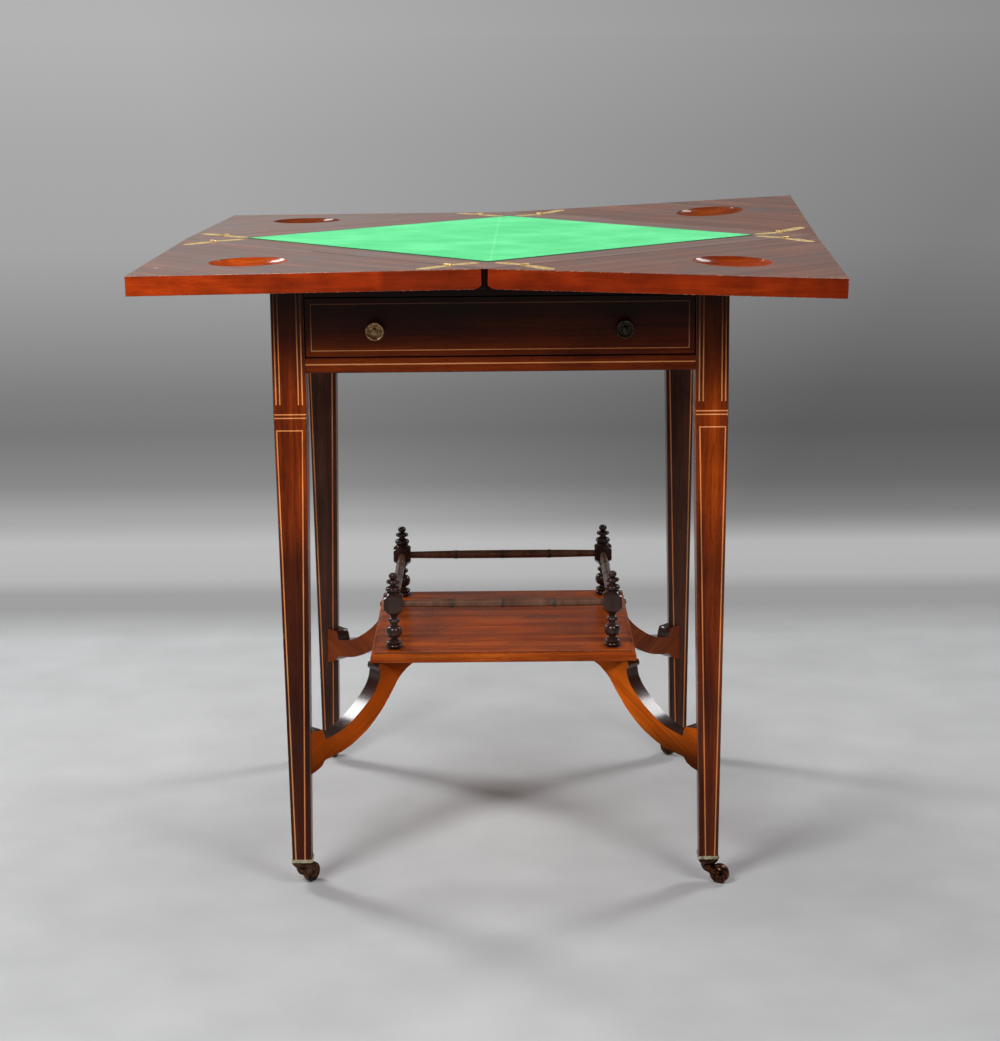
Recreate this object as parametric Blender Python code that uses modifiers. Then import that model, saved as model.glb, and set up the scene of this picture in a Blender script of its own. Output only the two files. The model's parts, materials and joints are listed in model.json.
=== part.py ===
"""Envelope card table, open for play.

A square centre board turns on a pivot over the frame, and a triangular leaf is hinged to each of its edges.
Open, the leaves lie over the corners of the frame. Below are a drawer, four tapered legs on cup castors, and a
shelf with a turned gallery on four scrolled brackets.

The frame stands on the floor at z = 0, centred on the origin. The drawer faces -Y, and +X is to its right.
All lengths are in metres, all angles in degrees.
"""

import math

import bmesh
import bpy
from mathutils import Matrix

# Overall sizes
TOP_HEIGHT = 0.7493
CLOSED_SIDE = 0.5500
FRAME_WIDTH = 0.5188

# Fits
FIT_GAP = 0.0003
OVERCUT = 0.0040

# Top
BOARD_THICKNESS = 0.0219
LEAF_EDGE_GAP = 0.0003
LEAF_TIP_TRIM = 0.0020
HINGE_AXIS_RISE = 0.0006
TOP_TURN = -2.35
SWIVEL_TRAVEL = 45.0
LEAF_DIRECTIONS = {"front_left": -135.0, "front_right": -45.0, "back_right": 45.0, "back_left": 135.0}
LEAF_DROOPS = {"front_left": 1.24, "front_right": 2.60, "back_right": -4.26, "back_left": 0.48}
OVOLO_DEPTH = 0.0090
OVOLO_HEIGHT = 0.0120
WELL_RADIUS = 0.0450
WELL_FLOOR_RADIUS = 0.0290
WELL_DEPTH = 0.0080
WELL_LIP_DEPTH = 0.0004
WELL_DISTANCE = 0.1090
BORDER_WIDTH = 0.0550
BAIZE_THICKNESS = 0.0012
BAIZE_PROUD = 0.0006

# Strap hinges
STRAP_REACH = 0.0445
STRAP_WIDTH = 0.0170
STRAP_WAIST = 0.0110
STRAP_NECK = 0.0070
STRAP_SHOULDER = 0.0130
STRAP_THICKNESS = 0.0020
STRAP_SINK = 0.0001
STRAP_FROM_CORNER = 0.0590
KNUCKLE_RADIUS = 0.0013
KNUCKLE_LENGTH = 0.0050
HINGE_PIN_RADIUS = 0.00055

# Pivot
FLANGE_RADIUS = 0.0250
FLANGE_THICKNESS = 0.0020
BOLT_RADIUS = 0.0050
NUT_RADIUS = 0.0095
NUT_THICKNESS = 0.0045
BOLT_BEYOND_NUT = 0.0008
BEARING_RADIUS = 0.0700
STOP_PEG_RADIUS = 0.0040
STOP_PEG_DISTANCE = 0.1000
STOP_PEG_SHORTFALL = 0.0030

# Legs
LEG_SIDE = 0.0378
LEG_TAPER_HEIGHT = 0.5700
LEG_FOOT_SIDE = 0.0227
LEG_OUTER_INSET = 0.0061

# Frieze and drawer
RAIL_THICKNESS = 0.0180
RAIL_BOTTOM_HEIGHT = 0.6195
DRAWER_RAIL_DEPTH = 0.0175
DRAWER_OPENING_DEPTH = 0.0690
REBATE_DEPTH = 0.0080
SUB_TOP_THICKNESS = 0.0100
DRAWER_FRONT_GAP = 0.0008
DRAWER_FRONT_THICKNESS = 0.0180
DRAWER_WALL = 0.0090
DRAWER_BOTTOM_THICKNESS = 0.0050
DRAWER_LENGTH = 0.4200
RUNNER_THICKNESS = 0.0120
RUNNER_LEDGE = 0.0250
GUIDE_HEIGHT = 0.0200
KNOB_RADIUS = 0.0109
KNOB_LENGTH = 0.0165
KNOB_SCREW_RADIUS = 0.0025
KNOB_SCREW_LENGTH = 0.0140
KNOB_DISTANCE = 0.1410
KNOB_DROP = 0.0029

# Shelf, brackets and gallery
SHELF_SIDE = 0.3220
SHELF_TOP_HEIGHT = 0.2620
SHELF_THICKNESS = 0.0115
SHELF_FILLET = 0.0012
SHELF_FILLET_INSET = 0.0058
SHELF_OVOLO = 0.0045
BRACKET_THICKNESS = 0.0200
BRACKET_INNER_MARGIN = 0.0630
BRACKET_FRONT_DROP = 0.1130
BRACKET_BACK_DROP = 0.1055
GALLERY_MARGIN = 0.0280
POST_HEIGHT = 0.0940
POST_BLOCK_SIDE = 0.0225
RAIL_RADIUS = 0.0055
RAIL_HEIGHT_SHARE = 0.592
TENON_RADIUS = 0.0030

# Castors
WHEEL_RADIUS = 0.0118
WHEEL_WIDTH = 0.0090
WHEEL_TRAIL = 0.0155
WHEEL_TREAD_SHARE = 0.5
WHEEL_EDGE_DROP = 0.0009
AXLE_RADIUS = 0.0016
CHEEK_GAP = 0.0004
CHEEK_THICKNESS = 0.0016
WHEEL_POCKET_GAP = 0.0006
CUP_HEIGHT = 0.0125
CUP_RIM_SIDE = 0.0256
CUP_COLLAR = 0.0040
CUP_WALL = 0.0005
CUP_LIP = 0.0008
CUP_CORNER = 0.0015
STEM_RADIUS = 0.0024
STEM_HEAD_RADIUS = 0.0040
STEM_HEAD_THICKNESS = 0.0012
HORN_DROP = 0.0100
CASTOR_TRAIL_ANGLES = {"front_left": 55.0, "front_right": -29.0, "back_left": 80.0, "back_right": 140.0}

# Places that follow from the sizes above
HALF_FRAME = FRAME_WIDTH / 2
HINGE_DISTANCE = CLOSED_SIDE / 2
LEG_INNER = HALF_FRAME - LEG_SIDE
RAIL_INNER = HALF_FRAME - RAIL_THICKNESS
RAIL_HALF_LENGTH = LEG_INNER - FIT_GAP
SUB_TOP_HALF = RAIL_INNER + REBATE_DEPTH
CORNER_REACH = HALF_FRAME * math.sqrt(2) - HINGE_DISTANCE
LOWEST_DROOP = math.radians(max(LEAF_DROOPS.values()))
LEAF_LEVER = BOARD_THICKNESS + HINGE_AXIS_RISE
LEAF_START = (LEAF_LEVER - OVOLO_HEIGHT) * math.tan(LOWEST_DROOP)
TOP_LIFT = CORNER_REACH * math.tan(LOWEST_DROOP) + LEAF_LEVER * (1 / math.cos(LOWEST_DROOP) - 1) + FIT_GAP
BOARD_BOTTOM = TOP_HEIGHT - BOARD_THICKNESS
FRAME_TOP = BOARD_BOTTOM - TOP_LIFT
SUB_TOP_BOTTOM = FRAME_TOP - SUB_TOP_THICKNESS
DRAWER_OPENING_BOTTOM = RAIL_BOTTOM_HEIGHT + DRAWER_RAIL_DEPTH
DRAWER_OPENING_TOP = DRAWER_OPENING_BOTTOM + DRAWER_OPENING_DEPTH
DRAWER_TOP = DRAWER_OPENING_TOP - DRAWER_FRONT_GAP
DRAWER_HALF = LEG_INNER - DRAWER_FRONT_GAP
SHELF_BOTTOM = SHELF_TOP_HEIGHT - SHELF_THICKNESS
POST_DISTANCE = SHELF_SIDE / 2 - GALLERY_MARGIN
CUP_BOTTOM = WHEEL_RADIUS * 2 - STEM_HEAD_THICKNESS
CUP_TOP = CUP_BOTTOM + CUP_HEIGHT
LEG_FOOT_HEIGHT = CUP_TOP - CUP_COLLAR + FIT_GAP
FOOT_CENTRE = HALF_FRAME - LEG_OUTER_INSET - LEG_FOOT_SIDE / 2
CORNERS = {"front_left": -135.0, "front_right": -45.0, "back_right": 45.0, "back_left": 135.0}
SIDES = {"right": 0.0, "back": 90.0, "left": 180.0, "front": -90.0}

# Roundness of each kind of round piece, in steps to the full circle
POST_STEPS = 10
RAIL_STEPS = 10
KNOB_STEPS = 14
WELL_STEPS = 28
DISC_STEPS = 32
BOLT_STEPS = 12
STEM_STEPS = 14
WHEEL_STEPS = 18
PIN_STEPS = 8

UPRIGHT = Matrix.Rotation(math.radians(90), 4, "X")


# Scene and collections
for old in list(bpy.data.objects):
    bpy.data.objects.remove(old, do_unlink=True)

PARTS = bpy.data.collections.new("envelope_card_table")
CUTTERS = bpy.data.collections.new("cutters")
bpy.context.scene.collection.children.link(PARTS)
bpy.context.scene.collection.children.link(CUTTERS)
CUTTERS.hide_render = True


# Materials
def srgb(code):
    """A hex colour as linear red, green, blue and alpha."""
    values = [int(code[i : i + 2], 16) / 255 for i in (0, 2, 4)]
    return [v / 12.92 if v <= 0.04045 else ((v + 0.055) / 1.055) ** 2.4 for v in values] + [1.0]


def finish(name, code, roughness, metallic=0.0):
    material = bpy.data.materials.new(name)
    material.use_nodes = True
    shader = material.node_tree.nodes["Principled BSDF"]
    shader.inputs["Base Color"].default_value = srgb(code)
    shader.inputs["Roughness"].default_value = roughness
    shader.inputs["Metallic"].default_value = metallic
    material.diffuse_color = srgb(code)
    return material


MAHOGANY = finish("mahogany", "6E2A12", 0.25)
DARK_MAHOGANY = finish("dark_mahogany", "3A170D", 0.28)
EBONISED = finish("ebonised_wood", "17110F", 0.18)
PINE = finish("secondary_wood", "A9824F", 0.60)
BAIZE = finish("green_baize", "2FA25C", 0.95)
BRASS = finish("brass", "B08A3E", 0.30, 1.0)
IRON = finish("iron", "3C3A38", 0.55, 1.0)


# Helpers that place things
def place(obj, parent=None, location=(0, 0, 0), turn=(0, 0, 0)):
    """Set where an object stands under its parent; turn is in degrees."""
    obj.parent = parent
    obj.location = location
    obj.rotation_euler = [math.radians(angle) for angle in turn]
    return obj


def part(name, mesh, material, parent=None, location=(0, 0, 0), turn=(0, 0, 0)):
    obj = bpy.data.objects.new(name, mesh)
    PARTS.objects.link(obj)
    if not mesh.materials:
        mesh.materials.append(material)
    return place(obj, parent, location, turn)


def helper(name, mesh, parent=None, location=(0, 0, 0), turn=(0, 0, 0)):
    """A cutter or a guide: never rendered, and left out of the finished table."""
    obj = bpy.data.objects.new(name, mesh)
    CUTTERS.objects.link(obj)
    obj.hide_render = True
    obj.display_type = "WIRE"
    return place(obj, parent, location, turn)


def empty(name, parent=None, location=(0, 0, 0), turn=(0, 0, 0)):
    obj = bpy.data.objects.new(name, None)
    PARTS.objects.link(obj)
    return place(obj, parent, location, turn)


def boolean(obj, other, operation="DIFFERENCE"):
    modifier = obj.modifiers.new(f"{operation.lower()}_{other.name}", "BOOLEAN")
    modifier.operation = operation
    modifier.object = other
    modifier.solver = "EXACT"


def evaluated_mesh(obj, name):
    """The object's shape with its modifiers, as a mesh of its own."""
    bpy.context.view_layer.update()
    graph = bpy.context.evaluated_depsgraph_get()
    mesh = bpy.data.meshes.new_from_object(obj.evaluated_get(graph))
    mesh.name = name
    return mesh


def bake(name, mesh, cut=(), join=()):
    """A mesh with shapes joined on and then others cut away, for pieces that repeat."""
    obj = helper(f"{name}_blank", mesh)
    for other in join:
        boolean(obj, other, "UNION")
    for cutter in cut:
        boolean(obj, cutter)
    return evaluated_mesh(obj, name)


# Helpers that make shapes
def direction(angle):
    """The unit vector on the floor plane at an angle from +X."""
    return math.cos(math.radians(angle)), math.sin(math.radians(angle))


def corner_spot(angle, distance, height=0.0):
    """The point above one corner of a square whose half side is the distance."""
    x, y = direction(angle)
    return math.copysign(distance, x), math.copysign(distance, y), height


def add_box(bm, low, high):
    """A box between two corners, as one more body in the bmesh."""
    middle = [(a + b) / 2 for a, b in zip(low, high)]
    size = [b - a for a, b in zip(low, high)]
    matrix = Matrix.Translation(middle) @ Matrix.Diagonal((*size, 1))
    return bmesh.ops.create_cube(bm, size=1.0, matrix=matrix)["verts"]


def extrude(bm, faces):
    """Extrude faces, leave nothing of the old ones inside, and return the new ones."""
    grown = bmesh.ops.extrude_face_region(bm, geom=faces)["geom"]
    bmesh.ops.delete(bm, geom=faces, context="FACES_ONLY")
    return [item for item in grown if isinstance(item, bmesh.types.BMFace)]


def to_mesh(bm, name):
    mesh = bpy.data.meshes.new(name)
    bmesh.ops.recalc_face_normals(bm, faces=bm.faces)
    bm.to_mesh(mesh)
    bm.free()
    return mesh


def box_mesh(name, low, high):
    bm = bmesh.new()
    add_box(bm, low, high)
    return to_mesh(bm, name)


def outline_mesh(name, points, low, high, matrix=Matrix.Identity(4)):
    """A flat outline, filled and raised from low to high."""
    curve = bpy.data.curves.new("outline", "CURVE")
    curve.dimensions = "2D"
    curve.fill_mode = "BOTH"
    curve.extrude = (high - low) / 2
    spline = curve.splines.new("POLY")
    spline.points.add(len(points) - 1)
    for point, (x, y) in zip(spline.points, points):
        point.co = (x, y, 0, 1)
    spline.use_cyclic_u = True
    guide = helper("outline_guide", curve)
    mesh = evaluated_mesh(guide, name)
    bpy.data.objects.remove(guide, do_unlink=True)
    bpy.data.curves.remove(curve)
    bm = bmesh.new()
    bm.from_mesh(mesh)
    bpy.data.meshes.remove(mesh)
    bmesh.ops.remove_doubles(bm, verts=bm.verts, dist=FIT_GAP / 100)
    bm.transform(matrix @ Matrix.Translation((0, 0, (low + high) / 2)))
    return to_mesh(bm, name)


def arc(centre, radii, start, end, count):
    """Points on an ellipse's arc, from one angle to the other, both included."""
    angles = [math.radians(start + (end - start) * i / (count - 1)) for i in range(count)]
    return [(centre[0] + radii[0] * math.cos(a), centre[1] + radii[1] * math.sin(a)) for a in angles]


def turned_mesh(name, profile, steps, closed=False):
    """A profile of (radius, height) points, top to bottom down its outer side, turned about Z."""
    mesh = bpy.data.meshes.new(f"{name}_profile")
    edges = [(i, i + 1) for i in range(len(profile) - 1)]
    if closed:
        edges.append((len(profile) - 1, 0))
    mesh.from_pydata([(r, 0, z) for r, z in profile], edges, [])
    guide = helper(f"{name}_guide", mesh)
    screw = guide.modifiers.new("turn", "SCREW")
    screw.steps = steps
    screw.render_steps = steps
    screw.use_merge_vertices = True
    screw.merge_threshold = FIT_GAP / 100
    shape = evaluated_mesh(guide, name)
    bpy.data.objects.remove(guide, do_unlink=True)
    shape.shade_smooth()
    shape.set_sharp_from_angle(angle=math.radians(40))
    return shape


def disc_profile(radius, low, high):
    return [(0, high), (radius, high), (radius, low), (0, low)]


def gather(name, mesh, matrices):
    """Copies of a mesh in one cutter."""
    bm = bmesh.new()
    for matrix in matrices:
        copy = mesh.copy()
        copy.transform(matrix)
        bm.from_mesh(copy)
        bpy.data.meshes.remove(copy)
    return to_mesh(bm, name)


# Legs: square down to the taper, then drawn in more on the inner faces than on the outer
def leg_mesh(name, grow=0.0, rise=0.0):
    """The leg at the (+X, +Y) corner, or a cutter for it, grown on each side face and raised at the top."""
    inner = LEG_INNER - grow
    outer = HALF_FRAME + grow
    foot_outer = HALF_FRAME - LEG_OUTER_INSET + grow
    foot_inner = HALF_FRAME - LEG_OUTER_INSET - LEG_FOOT_SIDE - grow
    bm = bmesh.new()
    add_box(bm, (inner, inner, LEG_TAPER_HEIGHT), (outer, outer, FRAME_TOP + rise))
    bm.normal_update()
    bottom = extrude(bm, [face for face in bm.faces if face.normal.z < -0.5])
    for vert in bottom[0].verts:
        x = foot_outer if vert.co.x > (inner + outer) / 2 else foot_inner
        y = foot_outer if vert.co.y > (inner + outer) / 2 else foot_inner
        vert.co = (x, y, LEG_FOOT_HEIGHT)
    return to_mesh(bm, name)


LEG = leg_mesh("leg")
LEG_SPACE = leg_mesh("leg_space", FIT_GAP, OVERCUT)
for corner, angle in CORNERS.items():
    part(f"leg_{corner}", LEG, DARK_MAHOGANY, turn=(0, 0, angle - 45))


# Frieze: rails between the legs, flush with their outer faces, and rebated for the sub-top
rebate_low = SUB_TOP_BOTTOM - FIT_GAP
back_section = [
    (RAIL_INNER, RAIL_BOTTOM_HEIGHT),
    (HALF_FRAME, RAIL_BOTTOM_HEIGHT),
    (HALF_FRAME, FRAME_TOP),
    (SUB_TOP_HALF, FRAME_TOP),
    (SUB_TOP_HALF, rebate_low),
    (RAIL_INNER, rebate_low),
]
# A side rail carries the drawer's runner and its guide, glued along its inner face
side_section = back_section + [
    (RAIL_INNER, DRAWER_OPENING_BOTTOM + GUIDE_HEIGHT),
    (LEG_INNER, DRAWER_OPENING_BOTTOM + GUIDE_HEIGHT),
    (LEG_INNER, DRAWER_OPENING_BOTTOM),
    (LEG_INNER - RUNNER_LEDGE, DRAWER_OPENING_BOTTOM),
    (LEG_INNER - RUNNER_LEDGE, DRAWER_OPENING_BOTTOM - RUNNER_THICKNESS),
    (RAIL_INNER, DRAWER_OPENING_BOTTOM - RUNNER_THICKNESS),
]
lower_section = [
    (LEG_INNER, RAIL_BOTTOM_HEIGHT),
    (HALF_FRAME, RAIL_BOTTOM_HEIGHT),
    (HALF_FRAME, DRAWER_OPENING_BOTTOM),
    (LEG_INNER, DRAWER_OPENING_BOTTOM),
]
upper_section = [
    (LEG_INNER, DRAWER_OPENING_TOP),
    (HALF_FRAME, DRAWER_OPENING_TOP),
    (HALF_FRAME, FRAME_TOP),
    (SUB_TOP_HALF, FRAME_TOP),
    (SUB_TOP_HALF, rebate_low),
    (LEG_INNER, rebate_low),
]
for name, section, side in (
    ("side_rail_right", side_section, "right"),
    ("side_rail_left", side_section, "left"),
    ("back_rail", back_section, "back"),
    ("front_rail_lower", lower_section, "front"),
    ("front_rail_upper", upper_section, "front"),
):
    rail = outline_mesh(name, section, -RAIL_HALF_LENGTH, RAIL_HALF_LENGTH, UPRIGHT)
    part(name, rail, DARK_MAHOGANY, turn=(0, 0, SIDES[side]))


# Sub-top: a panel notched round the legs, with the bearing disc, the pivot hole and the stop peg's slot
def arc_slot(radius, half_width, start, end):
    """A slot along an arc about the pivot, with round ends."""
    end_spot = [radius * v for v in direction(end)]
    start_spot = [radius * v for v in direction(start)]
    outer = arc((0, 0), (radius + half_width, radius + half_width), start, end, 9)
    inner = arc((0, 0), (radius - half_width, radius - half_width), end, start, 9)
    end_cap = arc(end_spot, (half_width, half_width), end, end + 180, 7)[1:-1]
    start_cap = arc(start_spot, (half_width, half_width), start + 180, start + 360, 7)[1:-1]
    return outer + end_cap + inner + start_cap


panel_half = SUB_TOP_HALF - FIT_GAP
panel_low = (-panel_half, -panel_half, SUB_TOP_BOTTOM)
sub_top = part("sub_top", box_mesh("sub_top", panel_low, (panel_half, panel_half, FRAME_TOP)), PINE)
for corner, angle in CORNERS.items():
    boolean(sub_top, helper(f"leg_space_{corner}", LEG_SPACE, turn=(0, 0, angle - 45)))
disc_low = FRAME_TOP - SUB_TOP_THICKNESS / 2
bearing_disc = helper(
    "bearing_disc",
    turned_mesh("bearing_disc", disc_profile(BEARING_RADIUS, disc_low, BOARD_BOTTOM - FIT_GAP), DISC_STEPS),
)
bore_profile = disc_profile(BOLT_RADIUS + FIT_GAP, SUB_TOP_BOTTOM - OVERCUT, BOARD_BOTTOM + OVERCUT)
bolt_bore = helper("bolt_bore", turned_mesh("bolt_bore", bore_profile, BOLT_STEPS))
slack = math.degrees(FIT_GAP / STOP_PEG_DISTANCE)
slot_points = arc_slot(STOP_PEG_DISTANCE, STOP_PEG_RADIUS + FIT_GAP, -SWIVEL_TRAVEL - slack, slack)
stop_slot = helper(
    "stop_slot",
    outline_mesh("stop_slot", slot_points, SUB_TOP_BOTTOM - OVERCUT, FRAME_TOP + OVERCUT),
)
boolean(sub_top, bearing_disc, "UNION")
boolean(sub_top, bolt_bore)
boolean(sub_top, stop_slot)


# Shelf: a raised field, a small fillet and an ovolo round the edge
def shelf_mesh():
    half = SHELF_SIDE / 2
    step = SHELF_TOP_HEIGHT - SHELF_FILLET
    bm = bmesh.new()
    add_box(bm, (-half, -half, SHELF_BOTTOM), (half, half, step))
    bm.normal_update()
    top_face = [face for face in bm.faces if face.normal.z > 0.5]
    rim = list(top_face[0].edges)
    bmesh.ops.inset_region(bm, faces=top_face, thickness=SHELF_FILLET_INSET, use_even_offset=True)
    field = extrude(bm, top_face)
    bmesh.ops.translate(bm, verts=list(field[0].verts), vec=(0, 0, SHELF_FILLET))
    bmesh.ops.bevel(
        bm,
        geom=rim,
        offset=SHELF_OVOLO,
        offset_type="OFFSET",
        affect="EDGES",
        segments=4,
        profile=0.5,
        material=-1,
    )
    return to_mesh(bm, "shelf")


part("shelf", shelf_mesh(), MAHOGANY)


# Brackets: a C scroll from under the shelf to the leg, in the plane of the table's diagonal
def bracket_points(drop):
    """The outline as (distance from the middle, height), from shares of the bracket's reach and drop."""
    inner = SHELF_SIDE / math.sqrt(2) - BRACKET_INNER_MARGIN
    bottom = SHELF_BOTTOM - FIT_GAP - drop
    taper = (LEG_TAPER_HEIGHT - bottom) / (LEG_TAPER_HEIGHT - LEG_FOOT_HEIGHT)
    leg_corner = (LEG_INNER + (LEG_SIDE - LEG_OUTER_INSET - LEG_FOOT_SIDE) * taper) * math.sqrt(2)
    reach = leg_corner - inner
    tail = leg_corner + BRACKET_THICKNESS / 2 + FIT_GAP
    middle_share = (0.935, 1.155)
    upper_share = (0.585, 0.815)
    lower_share = (0.740, 1.030)
    shares = [(1.000, 0.028), (0.955, 0.060), (0.925, 0.115), (0.868, 0.128)]
    shares += arc(middle_share, lower_share, 262, 206, 8)
    shares += [(0.175, 0.800), (0.120, 0.872), (0.055, 0.895), (0.000, 0.925), (0.000, 1.000)]
    shares += [(0.392, 1.000), (0.400, 0.962), (0.395, 0.935), (0.381, 0.922)]
    shares += arc(middle_share, upper_share, 197, 268, 9)
    shares += [(0.925, 0.395), (0.940, 0.450)]
    points = [(inner + u * reach, bottom + v * drop) for u, v in shares]
    heel_share = 0.460
    points.append((tail, bottom + drop * heel_share))
    points.append((tail, bottom))
    return points


def bracket_mesh(name, drop):
    half = BRACKET_THICKNESS / 2
    return bake(name, outline_mesh(name, bracket_points(drop), -half, half, UPRIGHT), [notch])


notch = helper("leg_notch", LEG_SPACE, turn=(0, 0, -45))
FRONT_BRACKET = bracket_mesh("front_bracket", BRACKET_FRONT_DROP)
BACK_BRACKET = bracket_mesh("back_bracket", BRACKET_BACK_DROP)
for corner, angle in CORNERS.items():
    bracket = FRONT_BRACKET if corner.startswith("front") else BACK_BRACKET
    part(f"bracket_{corner}", bracket, MAHOGANY, turn=(0, 0, angle))


# Gallery: turned posts with a square block, and four turned rails whose tenons meet inside the blocks
def post_profile():
    """The post from its tip down to the shelf, in shares of its height and of its block's side."""
    shares = [(1.000, 0.0), (0.992, 0.100), (0.974, 0.180), (0.954, 0.210), (0.934, 0.195), (0.920, 0.160)]
    shares += [(0.910, 0.270), (0.898, 0.345), (0.884, 0.365), (0.870, 0.345), (0.858, 0.260)]
    shares += [(0.842, 0.170), (0.824, 0.300), (0.802, 0.385), (0.780, 0.405), (0.758, 0.370), (0.742, 0.270)]
    shares += [(0.728, 0.215), (0.710, 0.420), (0.694, 0.600), (0.676, 0.720)]
    shares += [(0.530, 0.720), (0.500, 0.560), (0.460, 0.340), (0.425, 0.200), (0.405, 0.170)]
    shares += [(0.388, 0.235), (0.365, 0.275), (0.342, 0.235), (0.318, 0.165)]
    ball_share = (0.220, 0.0)
    ball_radii_share = (0.085, 0.400)
    shares += arc(ball_share, ball_radii_share, 26, 154, 6)
    shares += [(0.124, 0.170), (0.110, 0.280), (0.092, 0.380), (0.062, 0.425), (0.032, 0.385), (0.0, 0.310)]
    return [(r * POST_BLOCK_SIDE, h * POST_HEIGHT) for h, r in shares] + [(0, 0)]


half_block = POST_BLOCK_SIDE / 2
block_low = (-half_block, -half_block, -OVERCUT)
block_high = (half_block, half_block, POST_HEIGHT + OVERCUT)
block_box = helper("post_block", box_mesh("post_block", block_low, block_high))
tenon_end = TENON_RADIUS / 2
mortise_profile = disc_profile(TENON_RADIUS + FIT_GAP, -half_block - OVERCUT, tenon_end + FIT_GAP)
mortise = turned_mesh("mortise", mortise_profile, RAIL_STEPS)
rail_height = POST_HEIGHT * RAIL_HEIGHT_SHARE
post_blank = helper("post_blank", turned_mesh("gallery_post", post_profile(), POST_STEPS))
boolean(post_blank, block_box, "INTERSECT")
boolean(post_blank, helper("mortise_from_front", mortise, location=(0, 0, rail_height), turn=(-90, 0, 0)))
boolean(post_blank, helper("mortise_from_left", mortise, location=(0, 0, rail_height), turn=(-90, 0, -90)))
POST = evaluated_mesh(post_blank, "gallery_post")
for corner, angle in CORNERS.items():
    spot = corner_spot(angle, POST_DISTANCE, SHELF_TOP_HEIGHT + FIT_GAP)
    part(f"gallery_post_{corner}", POST, EBONISED, location=spot, turn=(0, 0, angle - 45))


def gallery_rail_profile():
    """A rail with three shallow beads and a tenon at each end; its upper half, then the same mirrored."""
    half = POST_DISTANCE - half_block - FIT_GAP
    shares = [(1.0, 0.80), (0.52, 0.97), (0.505, 1.07), (0.49, 0.97), (0.016, 1.00), (0.0, 1.10)]
    upper = [(0, POST_DISTANCE + tenon_end), (TENON_RADIUS, POST_DISTANCE + tenon_end), (TENON_RADIUS, half)]
    upper += [(r * RAIL_RADIUS, h * half) for h, r in shares]
    return upper + [(r, -h) for r, h in reversed(upper[:-1])]


# Rails that meet are spun half a facet apart, so that no two facets of their tenons lie in one plane
GALLERY_RAIL = turned_mesh("gallery_rail", gallery_rail_profile(), RAIL_STEPS)
SPUN_RAIL = GALLERY_RAIL.copy()
SPUN_RAIL.transform(Matrix.Rotation(math.pi / RAIL_STEPS, 4, "Z"))


def rail_place(side):
    x, y = direction(SIDES[side])
    spot = (x * POST_DISTANCE, y * POST_DISTANCE, SHELF_TOP_HEIGHT + FIT_GAP + rail_height)
    return {"location": spot, "turn": (90, 0, SIDES[side])}


gallery_rails = part("gallery_rails", GALLERY_RAIL, EBONISED, **rail_place("front"))
for side, mesh in (("right", SPUN_RAIL), ("back", GALLERY_RAIL), ("left", SPUN_RAIL)):
    boolean(gallery_rails, helper(f"gallery_rail_{side}", mesh, **rail_place(side)), "UNION")


# Castors: a square cup on the leg's foot, a horn that swivels under it, and a wheel
def cup_mesh():
    """Square sections from the collar down, each drawn from the bottom of the last."""
    foot_half = LEG_FOOT_SIDE / 2 + FIT_GAP
    rim_half = CUP_RIM_SIDE / 2
    drop_shares = [0.26, 0.36, 0.62, 0.90, 1.00]
    width_shares = [1.00, 0.93, 0.86, 0.68, 0.56]
    sections = [(CUP_TOP - CUP_HEIGHT * d, rim_half * w) for d, w in zip(drop_shares, width_shares)]
    rim_low = sections[0][0]
    sections.insert(1, (rim_low - CUP_LIP, rim_half))
    bm = bmesh.new()
    collar_half = foot_half + CUP_WALL
    add_box(bm, (-collar_half, -collar_half, rim_low), (collar_half, collar_half, CUP_TOP))
    bm.normal_update()
    bottom = [face for face in bm.faces if face.normal.z < -0.5]
    for vert in bottom[0].verts:
        vert.co.x = math.copysign(rim_half, vert.co.x)
        vert.co.y = math.copysign(rim_half, vert.co.y)
    for height, half in sections[1:]:
        bottom = extrude(bm, bottom)
        for vert in bottom[0].verts:
            vert.co = (math.copysign(half, vert.co.x), math.copysign(half, vert.co.y), height)
    standing = [edge for edge in bm.edges if abs(edge.verts[0].co.z - edge.verts[1].co.z) > FIT_GAP]
    bmesh.ops.bevel(
        bm,
        geom=standing,
        offset=CUP_CORNER,
        offset_type="OFFSET",
        affect="EDGES",
        segments=1,
        profile=0.5,
        material=-1,
    )
    return to_mesh(bm, "castor_cup")


cup_floor = LEG_FOOT_HEIGHT - FIT_GAP
cavity_half = LEG_FOOT_SIDE / 2 + FIT_GAP
cavity_low = (-cavity_half, -cavity_half, cup_floor)
cavity_high = (cavity_half, cavity_half, CUP_TOP + OVERCUT)
foot_cavity = helper("foot_cavity", box_mesh("foot_cavity", cavity_low, cavity_high))
head_low = cup_floor - STEM_HEAD_THICKNESS - FIT_GAP
stem_bore_profile = [
    (0, cup_floor + OVERCUT),
    (STEM_HEAD_RADIUS + FIT_GAP, cup_floor + OVERCUT),
    (STEM_HEAD_RADIUS + FIT_GAP, head_low - FIT_GAP),
    (STEM_RADIUS + FIT_GAP, head_low - FIT_GAP),
    (STEM_RADIUS + FIT_GAP, CUP_BOTTOM - OVERCUT),
    (0, CUP_BOTTOM - OVERCUT),
]
stem_bore = helper("stem_bore", turned_mesh("stem_bore", stem_bore_profile, STEM_STEPS))
CUP = bake("castor_cup", cup_mesh(), [foot_cavity, stem_bore])

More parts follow.
